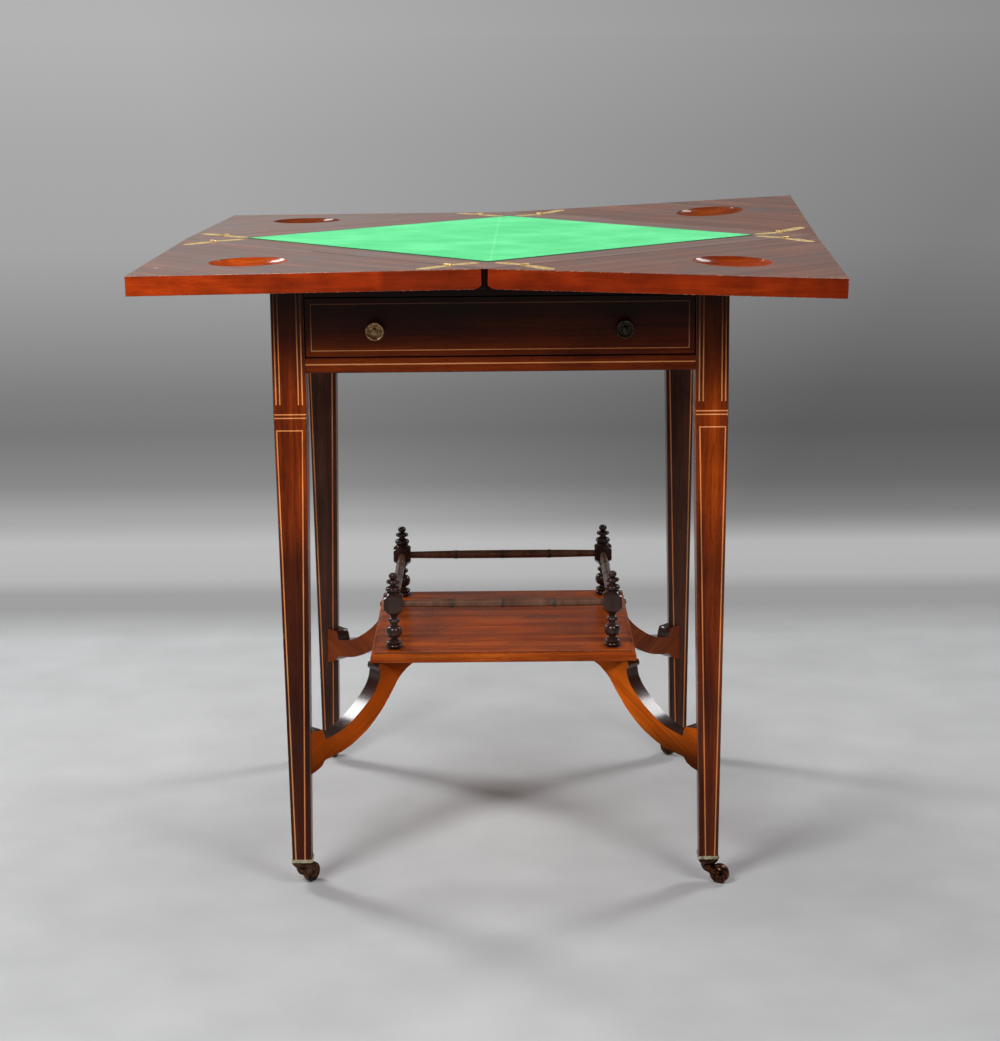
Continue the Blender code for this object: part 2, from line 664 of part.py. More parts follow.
horn_top = CUP_BOTTOM - FIT_GAP
horn_bottom = horn_top - HORN_DROP
horn_radius_shares = [(0.00, 0.66), (0.30, 0.64), (0.62, 0.52), (0.90, 0.34)]
horn_profile = [
    (0, head_low + STEM_HEAD_THICKNESS),
    (STEM_HEAD_RADIUS, head_low + STEM_HEAD_THICKNESS),
    (STEM_HEAD_RADIUS, head_low),
    (STEM_RADIUS, head_low),
    (STEM_RADIUS, horn_top),
]
horn_profile += [(CUP_RIM_SIDE / 2 * w, horn_top - HORN_DROP * d) for d, w in horn_radius_shares]
horn_profile.append((0, horn_bottom))

cheek_inner = WHEEL_WIDTH / 2 + CHEEK_GAP
cheek_outer = cheek_inner + CHEEK_THICKNESS
boss_share = 0.38
boss_radius = WHEEL_RADIUS * boss_share
cheek_outline = arc((WHEEL_TRAIL, WHEEL_RADIUS), (boss_radius, boss_radius), -100, 80, 7)
cheek_outline += [(STEM_RADIUS, horn_top - FIT_GAP), (0, horn_top - FIT_GAP), (0, horn_bottom + STEM_RADIUS)]
cheeks = [
    helper("cheek_left", outline_mesh("cheek", cheek_outline, -cheek_outer, -cheek_inner, UPRIGHT)),
    helper("cheek_right", outline_mesh("cheek", cheek_outline, cheek_inner, cheek_outer, UPRIGHT)),
]
wheel_spot = (WHEEL_TRAIL, 0, WHEEL_RADIUS)
pocket_profile = disc_profile(WHEEL_RADIUS + WHEEL_POCKET_GAP, -cheek_inner, cheek_inner)
wheel_pocket = helper("wheel_pocket", turned_mesh("wheel_pocket", pocket_profile, WHEEL_STEPS))
place(wheel_pocket, None, wheel_spot, (90, 0, 0))
axle_profile = disc_profile(AXLE_RADIUS, -cheek_outer - CHEEK_GAP, cheek_outer + CHEEK_GAP)
axle = helper("axle", turned_mesh("axle", axle_profile, PIN_STEPS))
place(axle, None, wheel_spot, (90, 0, 0))
opened_horn = bake("horn_opened", turned_mesh("horn", horn_profile, STEM_STEPS), [wheel_pocket], cheeks)
HORN = bake("castor_horn", opened_horn, join=[axle])

half_width = WHEEL_WIDTH / 2
tread = half_width * WHEEL_TREAD_SHARE
bore = AXLE_RADIUS + FIT_GAP
wheel_profile = [
    (WHEEL_RADIUS - WHEEL_EDGE_DROP, half_width),
    (WHEEL_RADIUS, tread),
    (WHEEL_RADIUS, -tread),
    (WHEEL_RADIUS - WHEEL_EDGE_DROP, -half_width),
    (bore, -half_width),
    (bore, half_width),
]
WHEEL = turned_mesh("castor_wheel", wheel_profile, WHEEL_STEPS, closed=True)
for corner, angle in CORNERS.items():
    spot = corner_spot(angle, FOOT_CENTRE)
    part(f"castor_cup_{corner}", CUP, BRASS, location=spot)
    swivel = empty(f"castor_swivel_{corner}", location=spot, turn=(0, 0, CASTOR_TRAIL_ANGLES[corner]))
    part(f"castor_horn_{corner}", HORN, BRASS, swivel)
    spindle = empty(f"castor_axle_{corner}", swivel, wheel_spot, (90, 0, 0))
    part(f"castor_wheel_{corner}", WHEEL, BRASS, spindle, turn=(0, 0, 90))


# Drawer: a front with two screwed knobs, a frame of sides and back, and a bottom
drawer = empty("drawer_slide")
front_face = -HALF_FRAME
front_back = front_face + DRAWER_FRONT_THICKNESS
drawer_end = front_face + DRAWER_LENGTH
side_inner = DRAWER_HALF - DRAWER_WALL
back_front = drawer_end - DRAWER_WALL
bottom_low = DRAWER_OPENING_BOTTOM + FIT_GAP
bottom_high = bottom_low + DRAWER_BOTTOM_THICKNESS
front_low = DRAWER_OPENING_BOTTOM + DRAWER_FRONT_GAP
knob_height = (front_low + DRAWER_TOP) / 2 - KNOB_DROP

front_mesh = box_mesh("drawer_front", (-DRAWER_HALF, front_face, front_low), (DRAWER_HALF, front_back, DRAWER_TOP))
drawer_front = part("drawer_front", front_mesh, DARK_MAHOGANY, drawer)
frame_points = [
    (-DRAWER_HALF, front_back + FIT_GAP),
    (-side_inner, front_back + FIT_GAP),
    (-side_inner, back_front),
    (side_inner, back_front),
    (side_inner, front_back + FIT_GAP),
    (DRAWER_HALF, front_back + FIT_GAP),
    (DRAWER_HALF, drawer_end),
    (-DRAWER_HALF, drawer_end),
]
frame_mesh = outline_mesh("drawer_frame", frame_points, bottom_high + FIT_GAP, DRAWER_TOP)
part("drawer_frame", frame_mesh, PINE, drawer)
bottom_mesh = box_mesh(
    "drawer_bottom",
    (-DRAWER_HALF, front_back + FIT_GAP, bottom_low),
    (DRAWER_HALF, drawer_end, bottom_high),
)
part("drawer_bottom", bottom_mesh, PINE, drawer)

# The knob's profile runs from its face towards the drawer, in shares of its length and radius
knob_shares = [(1.00, 0.0), (1.00, 0.42), (0.96, 0.50), (0.98, 0.80), (0.93, 0.97), (0.84, 1.00)]
knob_shares += [(0.70, 0.90), (0.52, 0.50), (0.25, 0.36), (0.12, 0.50), (0.04, 0.62), (0.0, 0.62)]
knob_profile = [(r * KNOB_RADIUS, FIT_GAP + h * KNOB_LENGTH) for h, r in knob_shares]
knob_profile += [(KNOB_SCREW_RADIUS, FIT_GAP), (KNOB_SCREW_RADIUS, -KNOB_SCREW_LENGTH), (0, -KNOB_SCREW_LENGTH)]
KNOB = turned_mesh("knob", knob_profile, KNOB_STEPS)
screw_hole_profile = disc_profile(KNOB_SCREW_RADIUS + FIT_GAP, -KNOB_SCREW_LENGTH - FIT_GAP, OVERCUT)
SCREW_HOLE = turned_mesh("screw_hole", screw_hole_profile, KNOB_STEPS)
for name, x in (("left", -KNOB_DISTANCE), ("right", KNOB_DISTANCE)):
    spot = (x, front_face, knob_height)
    boolean(drawer_front, helper(f"knob_hole_{name}", SCREW_HOLE, location=spot, turn=(90, 0, 0)))
    part(f"drawer_knob_{name}", KNOB, BRASS, drawer, spot, (90, 0, 0))


# Hinge straps. In a hinge's own axes the hinge line is Y, the leaf is on the +X side, and the playing surface
# lies one axis rise below the hinge axis
SURFACE = -HINGE_AXIS_RISE
STRAP_TOP = SURFACE - STRAP_SINK
STRAP_LOW = STRAP_TOP - STRAP_THICKNESS
HINGE_SPOTS = {"a": STRAP_FROM_CORNER - HINGE_DISTANCE, "b": HINGE_DISTANCE - STRAP_FROM_CORNER}
knuckle_end = STRAP_WAIST / 2
knuckle_half = KNUCKLE_LENGTH / 2
side_start = knuckle_half + FIT_GAP


def strap_outline(start, grow=0.0):
    """The strap from its knuckle to its round end, on the +X side."""
    waist = STRAP_WAIST / 2 + grow
    half = STRAP_WIDTH / 2 + grow
    end = arc((STRAP_REACH - STRAP_WIDTH / 2, 0), (half, half), -90, 90, 7)
    near = [(start, -waist), (STRAP_NECK, -waist), (STRAP_SHOULDER, -half)]
    return near + end + [(x, -y) for x, y in reversed(near)]


def round_mesh(name, radius, low_y, high_y):
    """A cylinder along the hinge line, with a flat facing the strap."""
    mesh = turned_mesh(name, disc_profile(radius, low_y, high_y), PIN_STEPS)
    mesh.transform(UPRIGHT.inverted() @ Matrix.Rotation(math.pi / PIN_STEPS, 4, "Z"))
    return mesh


def tongue_mesh(low_y, high_y):
    """The lip that joins a strap to its knuckle."""
    low = (KNUCKLE_RADIUS / 2, low_y, SURFACE - STRAP_SINK - KNUCKLE_RADIUS / 3)
    high = (KNUCKLE_RADIUS + FIT_GAP * 2, high_y, STRAP_TOP)
    return box_mesh("tongue", low, high)


def strap_mesh(name, knuckles):
    """A strap with a tongue and a knuckle over each given stretch of the hinge line."""
    blank = outline_mesh(name, strap_outline(KNUCKLE_RADIUS + FIT_GAP), STRAP_LOW, STRAP_TOP)
    joined = []
    for low_y, high_y in knuckles:
        joined.append(helper(f"{name}_tongue", tongue_mesh(low_y, high_y)))
        joined.append(helper(f"{name}_knuckle", round_mesh("knuckle", KNUCKLE_RADIUS, low_y, high_y)))
    return bake(name, blank, join=joined)


bore_end = knuckle_half + OVERCUT
pin_bore = helper("pin_bore", round_mesh("pin_bore", HINGE_PIN_RADIUS + FIT_GAP, -bore_end, bore_end))
BOARD_STRAP = bake("board_strap", strap_mesh("board_strap", [(-knuckle_half, knuckle_half)]), [pin_bore])
pin_end = (side_start + knuckle_end) / 2
hinge_pin = helper("hinge_pin", round_mesh("hinge_pin", HINGE_PIN_RADIUS, -pin_end, pin_end))
outer_knuckles = strap_mesh("leaf_strap", [(-knuckle_end, -side_start), (side_start, knuckle_end)])
LEAF_STRAP = bake("leaf_strap", outer_knuckles, join=[hinge_pin])
RECESS = outline_mesh("strap_recess", strap_outline(-OVERCUT, FIT_GAP), STRAP_LOW - FIT_GAP, SURFACE + OVERCUT)


# Leaves: a right-angled triangle in the hinge's own axes, its sharp tips trimmed, moulded below on the hinge side
def well_profile():
    """A shallow dish: a small straight lip, then one arc that runs level into the floor."""
    run = WELL_RADIUS - WELL_FLOOR_RADIUS
    fall = WELL_DEPTH - WELL_LIP_DEPTH
    slope = 2 * math.atan2(fall, run)
    bend = run / math.sin(slope)
    centre = (WELL_FLOOR_RADIUS, SURFACE - WELL_DEPTH + bend)
    wall = arc(centre, (bend, bend), math.degrees(slope) - 90, -90, 6)
    return [(0, SURFACE + OVERCUT), (WELL_RADIUS, SURFACE + OVERCUT), *wall, (0, SURFACE - WELL_DEPTH)]


def leaf_mesh():
    underside = SURFACE - BOARD_THICKNESS
    reach = HINGE_DISTANCE - LEAF_EDGE_GAP * math.sqrt(2)
    tip = reach - LEAF_START - LEAF_TIP_TRIM
    trimmed = LEAF_START + LEAF_TIP_TRIM
    outline = [(LEAF_START, -tip), (trimmed, -tip), (reach, 0), (trimmed, tip), (LEAF_START, tip)]
    blank = outline_mesh("leaf", outline, underside, SURFACE)
    centre = (LEAF_START + OVOLO_DEPTH, underside + OVOLO_HEIGHT)
    section = [(LEAF_START - OVERCUT, underside - OVERCUT), (centre[0], underside - OVERCUT)]
    section += arc(centre, (OVOLO_DEPTH, OVOLO_HEIGHT), 270, 180, 7)
    section += [(LEAF_START - OVERCUT, centre[1])]
    overhang = HINGE_DISTANCE + OVERCUT
    moulding = helper("leaf_moulding", outline_mesh("leaf_moulding", section, -overhang, overhang, UPRIGHT))
    spots = [Matrix.Translation((0, y, 0)) for y in HINGE_SPOTS.values()]
    recesses = helper("leaf_recesses", gather("leaf_recesses", RECESS, spots))
    well = helper("counter_well", turned_mesh("counter_well", well_profile(), WELL_STEPS))
    place(well, None, (WELL_DISTANCE, 0, 0))
    return bake("leaf", blank, [moulding, recesses, well])


LEAF = leaf_mesh()
top = empty("top_pivot", location=(0, 0, BOARD_BOTTOM), turn=(0, 0, TOP_TURN))
axis_height = TOP_HEIGHT + HINGE_AXIS_RISE - BOARD_BOTTOM
recess_places = []
for corner, angle in LEAF_DIRECTIONS.items():
    x, y = direction(angle)
    spot = (x * HINGE_DISTANCE, y * HINGE_DISTANCE, axis_height)
    hinge = empty(f"leaf_hinge_{corner}", top, spot, (0, LEAF_DROOPS[corner], angle))
    board_edge = empty(f"board_edge_{corner}", top, spot, (0, 0, angle + 180))
    part(f"leaf_{corner}", LEAF, MAHOGANY, hinge)
    for letter, along in HINGE_SPOTS.items():
        part(f"leaf_strap_{corner}_{letter}", LEAF_STRAP, BRASS, hinge, (0, along, 0))
        part(f"board_strap_{corner}_{letter}", BOARD_STRAP, BRASS, board_edge, (0, along, 0))
        facing = Matrix.Rotation(math.radians(angle + 180), 4, "Z")
        recess_places.append(Matrix.Translation(spot) @ facing @ Matrix.Translation((0, along, 0)))


# Centre board: a square whose sides face the leaves, with the baize let in, the pivot bolt and the stop peg
def square_mesh(name, half, low, high):
    mesh = box_mesh(name, (-half, -half, low), (half, half, high))
    mesh.transform(Matrix.Rotation(math.radians(45), 4, "Z"))
    return mesh


board = part("centre_board", square_mesh("centre_board", HINGE_DISTANCE - FIT_GAP, 0, BOARD_THICKNESS), MAHOGANY, top)
baize_half = HINGE_DISTANCE - BORDER_WIDTH
baize_high = BOARD_THICKNESS + BAIZE_PROUD
baize_low = baize_high - BAIZE_THICKNESS
part("baize", square_mesh("baize", baize_half, baize_low, baize_high), BAIZE, top)
baize_recess = helper(
    "baize_recess",
    square_mesh("baize_recess", baize_half + FIT_GAP, baize_low - FIT_GAP, BOARD_THICKNESS + OVERCUT),
    top,
)
board_recesses = helper("board_recesses", gather("board_recesses", RECESS, recess_places), top)
flange_profile = disc_profile(FLANGE_RADIUS + FIT_GAP, -OVERCUT, FLANGE_THICKNESS + FIT_GAP)
flange_recess = helper("flange_recess", turned_mesh("flange_recess", flange_profile, BOLT_STEPS), top)
peg_low = SUB_TOP_BOTTOM + STOP_PEG_SHORTFALL - BOARD_BOTTOM
peg_profile = disc_profile(STOP_PEG_RADIUS, peg_low, BOARD_THICKNESS / 2)
stop_peg = helper("stop_peg", turned_mesh("stop_peg", peg_profile, BOLT_STEPS), top, (STOP_PEG_DISTANCE, 0, 0))
boolean(board, stop_peg, "UNION")
for cutter in (baize_recess, board_recesses, flange_recess):
    boolean(board, cutter)

nut_high = SUB_TOP_BOTTOM - FIT_GAP - BOARD_BOTTOM
nut_low = nut_high - NUT_THICKNESS
bolt_low = nut_low - BOLT_BEYOND_NUT
bolt_profile = [
    (0, FLANGE_THICKNESS),
    (FLANGE_RADIUS, FLANGE_THICKNESS),
    (FLANGE_RADIUS, 0),
    (BOLT_RADIUS, 0),
    (BOLT_RADIUS, nut_high),
    (NUT_RADIUS, nut_high),
    (NUT_RADIUS, nut_low),
    (BOLT_RADIUS, nut_low),
    (BOLT_RADIUS, bolt_low),
    (0, bolt_low),
]
part("pivot_bolt", turned_mesh("pivot_bolt", bolt_profile, BOLT_STEPS), IRON, top)

bpy.context.view_layer.update()
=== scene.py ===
# %% [markdown]
# # An envelope card table, open for play
# The table has a square centre board that turns on the frame, and four triangular leaves that fold over it
# like the flaps of an envelope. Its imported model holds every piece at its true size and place, and this
# lesson gives those pieces their edges, turnings, inlay, brass and polish. All lengths are in metres unless
# a name says otherwise.

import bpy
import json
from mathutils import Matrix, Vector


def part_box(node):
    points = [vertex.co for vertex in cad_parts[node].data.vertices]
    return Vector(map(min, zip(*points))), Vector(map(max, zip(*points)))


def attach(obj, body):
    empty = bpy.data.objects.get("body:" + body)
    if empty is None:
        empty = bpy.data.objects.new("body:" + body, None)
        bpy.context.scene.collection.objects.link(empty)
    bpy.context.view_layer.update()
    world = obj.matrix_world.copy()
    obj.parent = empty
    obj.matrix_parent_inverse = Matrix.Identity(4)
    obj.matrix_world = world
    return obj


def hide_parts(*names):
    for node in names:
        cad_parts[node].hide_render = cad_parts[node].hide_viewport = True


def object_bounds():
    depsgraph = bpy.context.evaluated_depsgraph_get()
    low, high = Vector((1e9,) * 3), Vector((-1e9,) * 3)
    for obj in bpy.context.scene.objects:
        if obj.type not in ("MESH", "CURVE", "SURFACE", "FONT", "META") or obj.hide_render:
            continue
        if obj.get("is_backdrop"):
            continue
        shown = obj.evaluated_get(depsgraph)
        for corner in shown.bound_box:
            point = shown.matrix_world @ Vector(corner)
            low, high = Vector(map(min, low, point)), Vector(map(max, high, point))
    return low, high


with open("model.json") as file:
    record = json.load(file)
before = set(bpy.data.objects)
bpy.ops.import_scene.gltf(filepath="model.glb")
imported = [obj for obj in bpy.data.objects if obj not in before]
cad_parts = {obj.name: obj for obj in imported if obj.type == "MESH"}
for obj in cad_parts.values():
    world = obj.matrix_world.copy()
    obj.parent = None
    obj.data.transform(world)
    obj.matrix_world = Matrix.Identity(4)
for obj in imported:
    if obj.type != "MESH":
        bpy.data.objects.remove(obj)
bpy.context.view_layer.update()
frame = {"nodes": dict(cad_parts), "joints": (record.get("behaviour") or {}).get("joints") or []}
nodes = frame["nodes"]
print("pieces in the packed table:", len(nodes))

# %% Tools
import json
import math

import bmesh
import bpy
from mathutils import Matrix, Vector

scene = bpy.context.scene
MM = 0.001
CORNERS = {"front_left": (-1, -1), "front_right": (1, -1), "back_right": (1, 1), "back_left": (-1, 1)}


def radians(*degrees):
    """Degrees as radians: one number, or a tuple of several."""
    turned = tuple(math.radians(angle) for angle in degrees)
    return turned if len(turned) > 1 else turned[0]


def put(name, data):
    """A new object in the scene, at the origin."""
    obj = bpy.data.objects.new(name, data)
    scene.collection.objects.link(obj)
    return obj


print("working in", scene.name)

# %% [markdown]
# ## The camera
# The photograph was taken from the front, a little above the table, with a long lens. Its place, turn and
# focal length were solved from the corners of the open top, the legs and the shelf, so the picture's pixels
# and the model agree.

# %% Camera
PHOTO_HEIGHT = 1041
FOCAL_PIXELS = 2325.87
CAMERA_SPOT = (0.0028, -2.8775, 1.0037)
CAMERA_YAW, CAMERA_PITCH, CAMERA_ROLL = -0.0019325, 0.209646, 0.0100194

forward = Vector((
    math.sin(CAMERA_YAW) * math.cos(CAMERA_PITCH),
    math.cos(CAMERA_YAW) * math.cos(CAMERA_PITCH),
    -math.sin(CAMERA_PITCH),
))
level = Vector((math.cos(CAMERA_YAW), -math.sin(CAMERA_YAW), 0))
down = forward.cross(level)
picture_right = level * math.cos(CAMERA_ROLL) + down * math.sin(CAMERA_ROLL)
picture_down = down * math.cos(CAMERA_ROLL) - level * math.sin(CAMERA_ROLL)

lens = bpy.data.cameras.new("camera")
lens.sensor_width = 36
lens.lens = FOCAL_PIXELS * lens.sensor_width / PHOTO_HEIGHT
lens.clip_end = 500
camera = put("camera", lens)
camera.matrix_world = Matrix.Translation(CAMERA_SPOT) @ Matrix(
    (picture_right, -picture_down, -forward)
).transposed().to_4x4()
scene.camera = camera
print("lens in mm:", round(lens.lens, 2))

# %% [markdown]
# ## Colours and nodes
# Every colour is written as the hex code that a screen shows, and one function turns it to the linear
# values that Blender mixes light with. Another adds a node with its settings and links, so that a material
# reads as a recipe.


# %% Colours and nodes
def colour(code):
    """A hex colour as linear red, green, blue and alpha."""
    shares = [int(code[i : i + 2], 16) / 255 for i in (0, 2, 4)]
    return [s / 12.92 if s <= 0.04045 else ((s + 0.055) / 1.055) ** 2.4 for s in shares] + [1.0]


def add(tree, kind, values=None):
    """A new node. A value is a property, an input's number, or another node's output, which is linked."""
    node = tree.nodes.new("ShaderNode" + kind)
    for key, value in (values or {}).items():
        if isinstance(value, bpy.types.NodeSocket):
            tree.links.new(value, node.inputs[key])
        elif isinstance(key, str) and hasattr(node, key):
            setattr(node, key, value)
        else:
            node.inputs[key].default_value = value
    return node


def maths(tree, operation, *values):
    """The result of one operation on numbers or other nodes' outputs."""
    return add(tree, "Math", {"operation": operation, **dict(enumerate(values))}).outputs[0]


def vector_maths(tree, operation, *values):
    """The same on vectors. A length, a distance or a dot product comes out as a number."""
    node = add(tree, "VectorMath", {"operation": operation, **dict(enumerate(values))})
    return node.outputs["Value" if operation in ("LENGTH", "DISTANCE", "DOT_PRODUCT") else "Vector"]


def scaled(tree, vector, factor):
    """A vector made longer or shorter."""
    return add(tree, "VectorMath", {"operation": "SCALE", 0: vector, "Scale": factor}).outputs[0]


def axes_of(tree, vector):
    """A vector's three numbers."""
    return add(tree, "SeparateXYZ", {0: vector}).outputs


def object_place(tree):
    """Where a point lies on its object. As every origin is at zero, it's the place in the room at rest."""
    return add(tree, "TexCoord").outputs["Object"]


def noise(tree, place, scale, detail):
    """Clouds of noise between zero and one, so many to the metre."""
    return add(tree, "TexNoise", {"Scale": scale, "Detail": detail, "Vector": place}).outputs[0]


def blend(tree, share, first, second, how="MIX"):
    """Two colours mixed by a share. Each of the three is a value or another node's output."""
    mix = add(tree, "Mix", {"data_type": "RGBA", "blend_type": how, 0: share, 6: first, 7: second})
    return mix.outputs[2]


def band_of(tree, value, low, high, out_low=0.0, out_high=1.0):
    """A value's stretch from low to high, laid on another stretch and held inside it."""
    values = {"Value": value, "From Min": low, "From Max": high, "To Min": out_low, "To Max": out_high}
    return add(tree, "MapRange", values).outputs[0]


def ramp(tree, value, stops):
    """A colour ramp with a stop for each (place, hex colour)."""
    node = add(tree, "ValToRGB", {0: value})
    band = node.color_ramp
    for place, _ in stops[2:]:
        band.elements.new(place)
    for element, (place, _) in zip(band.elements, stops):
        element.position = place
    for element, (_, code) in zip(band.elements, stops):
        element.color = colour(code)
    return node.outputs["Color"]


def relief(tree, height, strength, depth):
    """The hills and hollows of a surface, at most so many metres deep, which bend its shading."""
    return add(tree, "Bump", {"Strength": strength, "Distance": depth, "Height": height}).outputs[0]


def new_material(name):
    """A material whose node tree is still empty, and the tree."""
    material = bpy.data.materials.new(name)
    material.use_nodes = True
    material.node_tree.nodes.clear()
    return material, material.node_tree


def surface(tree, values):
    """The shader that the material shows, joined to its output."""
    shader = add(tree, "BsdfPrincipled", values)
    add(tree, "OutputMaterial", {0: shader.outputs[0]})


print("helpers for colours and nodes are ready")

# %% [markdown]
# ## The patterns in mahogany
# Mahogany is a red-brown wood with long soft streaks, a finer ribbon, and open pores that show as short
# dark dashes. Each pattern is noise stretched along the grain, with its sizes in millimetres. Real pores
# are a quarter of a millimetre wide and would vanish in the picture, so they are drawn coarser. Old
# scratches, chips and stains are marks: short strokes at the places where the photograph shows them.
# A few marks are painted highlights and painted shade instead.

# %% Wood patterns
GRAIN_X = (0, 0, 0)
GRAIN_Y = radians(0, 0, 90)
GRAIN_Z = radians(0, 90, 0)
STREAK_MM = (420, 16)
RIBBON_MM = (90, 3.2)
PORE_MM = (11, 0.9)
MOTTLE_MM = (70, 55)
STREAK_SHARE = 0.62
DRIFT_MM = 7.0
DRIFT_CLOUD_MM = 160.0


def stretched(tree, place, turn, size_mm, detail):
    """Noise whose clouds are so many millimetres long and wide, with their length along the grain."""
    along, across = (size * MM for size in size_mm)
    grain = {"vector_type": "TEXTURE", "Rotation": turn, "Scale": (along, across, across)}
    laid = add(tree, "Mapping", {**grain, "Vector": place})
    return noise(tree, laid.outputs[0], 1.0, detail)


def wandering(tree):
    """The place on the object, shifted a few millimetres to and fro, so that no grain is ruled straight."""
    place = object_place(tree)
    scale = 1 / (DRIFT_CLOUD_MM * MM)
    cloud = add(tree, "TexNoise", {"Scale": scale, "Detail": 1.0, "Vector": place})
    centred = vector_maths(tree, "SUBTRACT", cloud.outputs["Color"], (0.5, 0.5, 0.5))
    return vector_maths(tree, "ADD", place, scaled(tree, centred, DRIFT_MM * MM))


def stroke(tree, place, start, end, half_width_mm):
    """One on a straight stroke between two points, and zero beside it. A level stroke shows at any height."""
    start, run = Vector(start), Vector(end) - Vector(start)
    if run.z == 0:
        start.z = 0
        place = vector_maths(tree, "MULTIPLY", place, (1, 1, 0))
    away = vector_maths(tree, "SUBTRACT", place, start)
    along = band_of(tree, vector_maths(tree, "DOT_PRODUCT", away, run / run.length_squared), 0.0, 1.0)
    gap = vector_maths(tree, "DISTANCE", away, scaled(tree, run, along))
    return band_of(tree, gap, half_width_mm * MM * 0.5, half_width_mm * MM * 1.5, 1.0, 0.0)


def darkening_and_shade_by_height(tree, place, darkening_and_shade):
    """How far the wood darkens at each height, partly painted shade: a line drawn through (height in metres,
    share) points.
    """
    curve = add(tree, "FloatCurve", {1: axes_of(tree, place)[2]})
    points = curve.mapping.curves[0].points
    points[0].location, points[1].location = (0, darkening_and_shade[0][1]), (1, darkening_and_shade[-1][1])
    for spot in darkening_and_shade:
        points.new(*spot)
    for point in points:
        point.handle_type = "VECTOR"
    curve.mapping.update()
    return curve.outputs[0]


print("patterns for the wood are ready")

# %% [markdown]
# ## Polished wood
# Mahogany is brushed and rubbed with shellac until a clear, glossy film lies on it, which is the shader's
# coat. One recipe gives the bright lipping of the leaves, the stained legs and the shelf, because only the
# colours and the grain's direction differ.

# %% Wood recipe
# The near-black that painted shade and the darkening by height draw the wood towards.
SHADE_AND_DARKENING_TONE = "120704"


def polished_wood(
    name, dark, middle, light, turn,
    rough=(0.24, 0.38), coat=0.1, coat_rough=0.12, pore=0.40, shine=0.12, darkening_and_shade=(), marks=(),
    mottle_mm=MOTTLE_MM, cloud=(0.72, 1.18),
):
    """Wood under polish, in three tones of grain.

    Darkening and shade lists (height, share) pairs, between which the wood darkens: painted shade where other
    parts overhang or meet it, and on legs and strings darker towards the floor.
    Marks list strokes: start, end, half width in mm, hex colour and strength.
    """
    material, tree = new_material(name)
    place = wandering(tree)
    streak = stretched(tree, place, turn, STREAK_MM, 3.0)
    ribbon = stretched(tree, place, turn, RIBBON_MM, 2.0)
    pores = stretched(tree, place, turn, PORE_MM, 1.0)
    mottle = stretched(tree, place, turn, mottle_mm, 2.0)
    long_streaks = maths(tree, "MULTIPLY", streak, STREAK_SHARE)
    grain = maths(tree, "MULTIPLY_ADD", ribbon, 1 - STREAK_SHARE, long_streaks)
    wood = ramp(tree, grain, [(0.31, dark), (0.50, middle), (0.69, light)])
    cloudy = band_of(tree, mottle, 0.30, 0.70, *cloud)
    grey = add(tree, "CombineColor", {0: cloudy, 1: cloudy, 2: cloudy}).outputs[0]
    wood = blend(tree, 1.0, wood, grey, "MULTIPLY")
    dash = band_of(tree, pores, 0.37, 0.43, pore, 0.0)
    wood = blend(tree, dash, wood, colour(dark))
    # Painted shade and darkening by height.
    if darkening_and_shade:
        wood = blend(tree, darkening_and_shade_by_height(tree, place, darkening_and_shade), wood, colour(SHADE_AND_DARKENING_TONE))
    still = object_place(tree)
    for start, end, half_width, tone, strength in marks:
        mask = maths(tree, "MULTIPLY", stroke(tree, still, start, end, half_width), strength)
        wood = blend(tree, mask, wood, colour(tone))
    hills = relief(tree, maths(tree, "SUBTRACT", ribbon, dash), 0.12, 0.0003)
    surface(tree, {
        "IOR": 1.5, "Specular IOR Level": shine, "Coat Weight": coat, "Coat Roughness": coat_rough,
        "Base Color": wood, "Roughness": band_of(tree, mottle, 0.30, 0.70, *rough), "Normal": hills,
    })
    return material


print("the wood's recipe is ready")

# %% [markdown]
# ## Stained mahogany
# The maker stained the legs and the frieze. Painted shade darkens the frieze and the tops of the legs under
# the overhanging leaves, and the legs grow darker towards the feet. Each list of darkening and shade reads
# up from the floor.

# %% Stained mahogany
# Painted shade at the top under the leaves, a bright band near half a metre, and darker towards the feet.
LEG_SHADE_AND_DARKENING = {
    "left": (
        (0.05, 0.76), (0.20, 0.85), (0.30, 0.84), (0.40, 0.68), (0.45, 0.25), (0.50, 0.0), (0.58, 0.05),
        (0.62, 0.30), (0.66, 0.65), (0.70, 0.93),
    ),
    "right": (
        (0.05, 0.68), (0.20, 0.54), (0.30, 0.48), (0.38, 0.55), (0.44, 0.26), (0.48, 0.0), (0.56, 0.06),
        (0.61, 0.40), (0.66, 0.65), (0.70, 0.93),
    ),
}
LEFT_NICK = (((-0.2560, -0.2565, 0.3132), (-0.2560, -0.2565, 0.3084), 1.2, "9A6A48", 0.8),)
RIGHT_NICK = (((0.2588, -0.2594, 0.5728), (0.2588, -0.2594, 0.5659), 0.8, "C89878", 0.8),)
STAIN = ("4A1804", "8A3206", "AC480A")
STAIN_WARM = ("541C04", "9A3A06", "BE5008")
LEG_WOOD = {
    -1: polished_wood(
        "stained_mahogany_left_leg", *STAIN, GRAIN_Z, darkening_and_shade=LEG_SHADE_AND_DARKENING["left"], marks=LEFT_NICK
    ),
    1: polished_wood(
        "stained_mahogany_right_leg", *STAIN_WARM, GRAIN_Z, darkening_and_shade=LEG_SHADE_AND_DARKENING["right"], marks=RIGHT_NICK
    ),
}
# The back legs get much darker tones: painted shade.
SHADED_REAR_LEG_WOOD = polished_wood("stained_mahogany_rear_leg_in_painted_shade", "2A130B", "4E2A1C", "66382A", GRAIN_Z, coat=0.2)

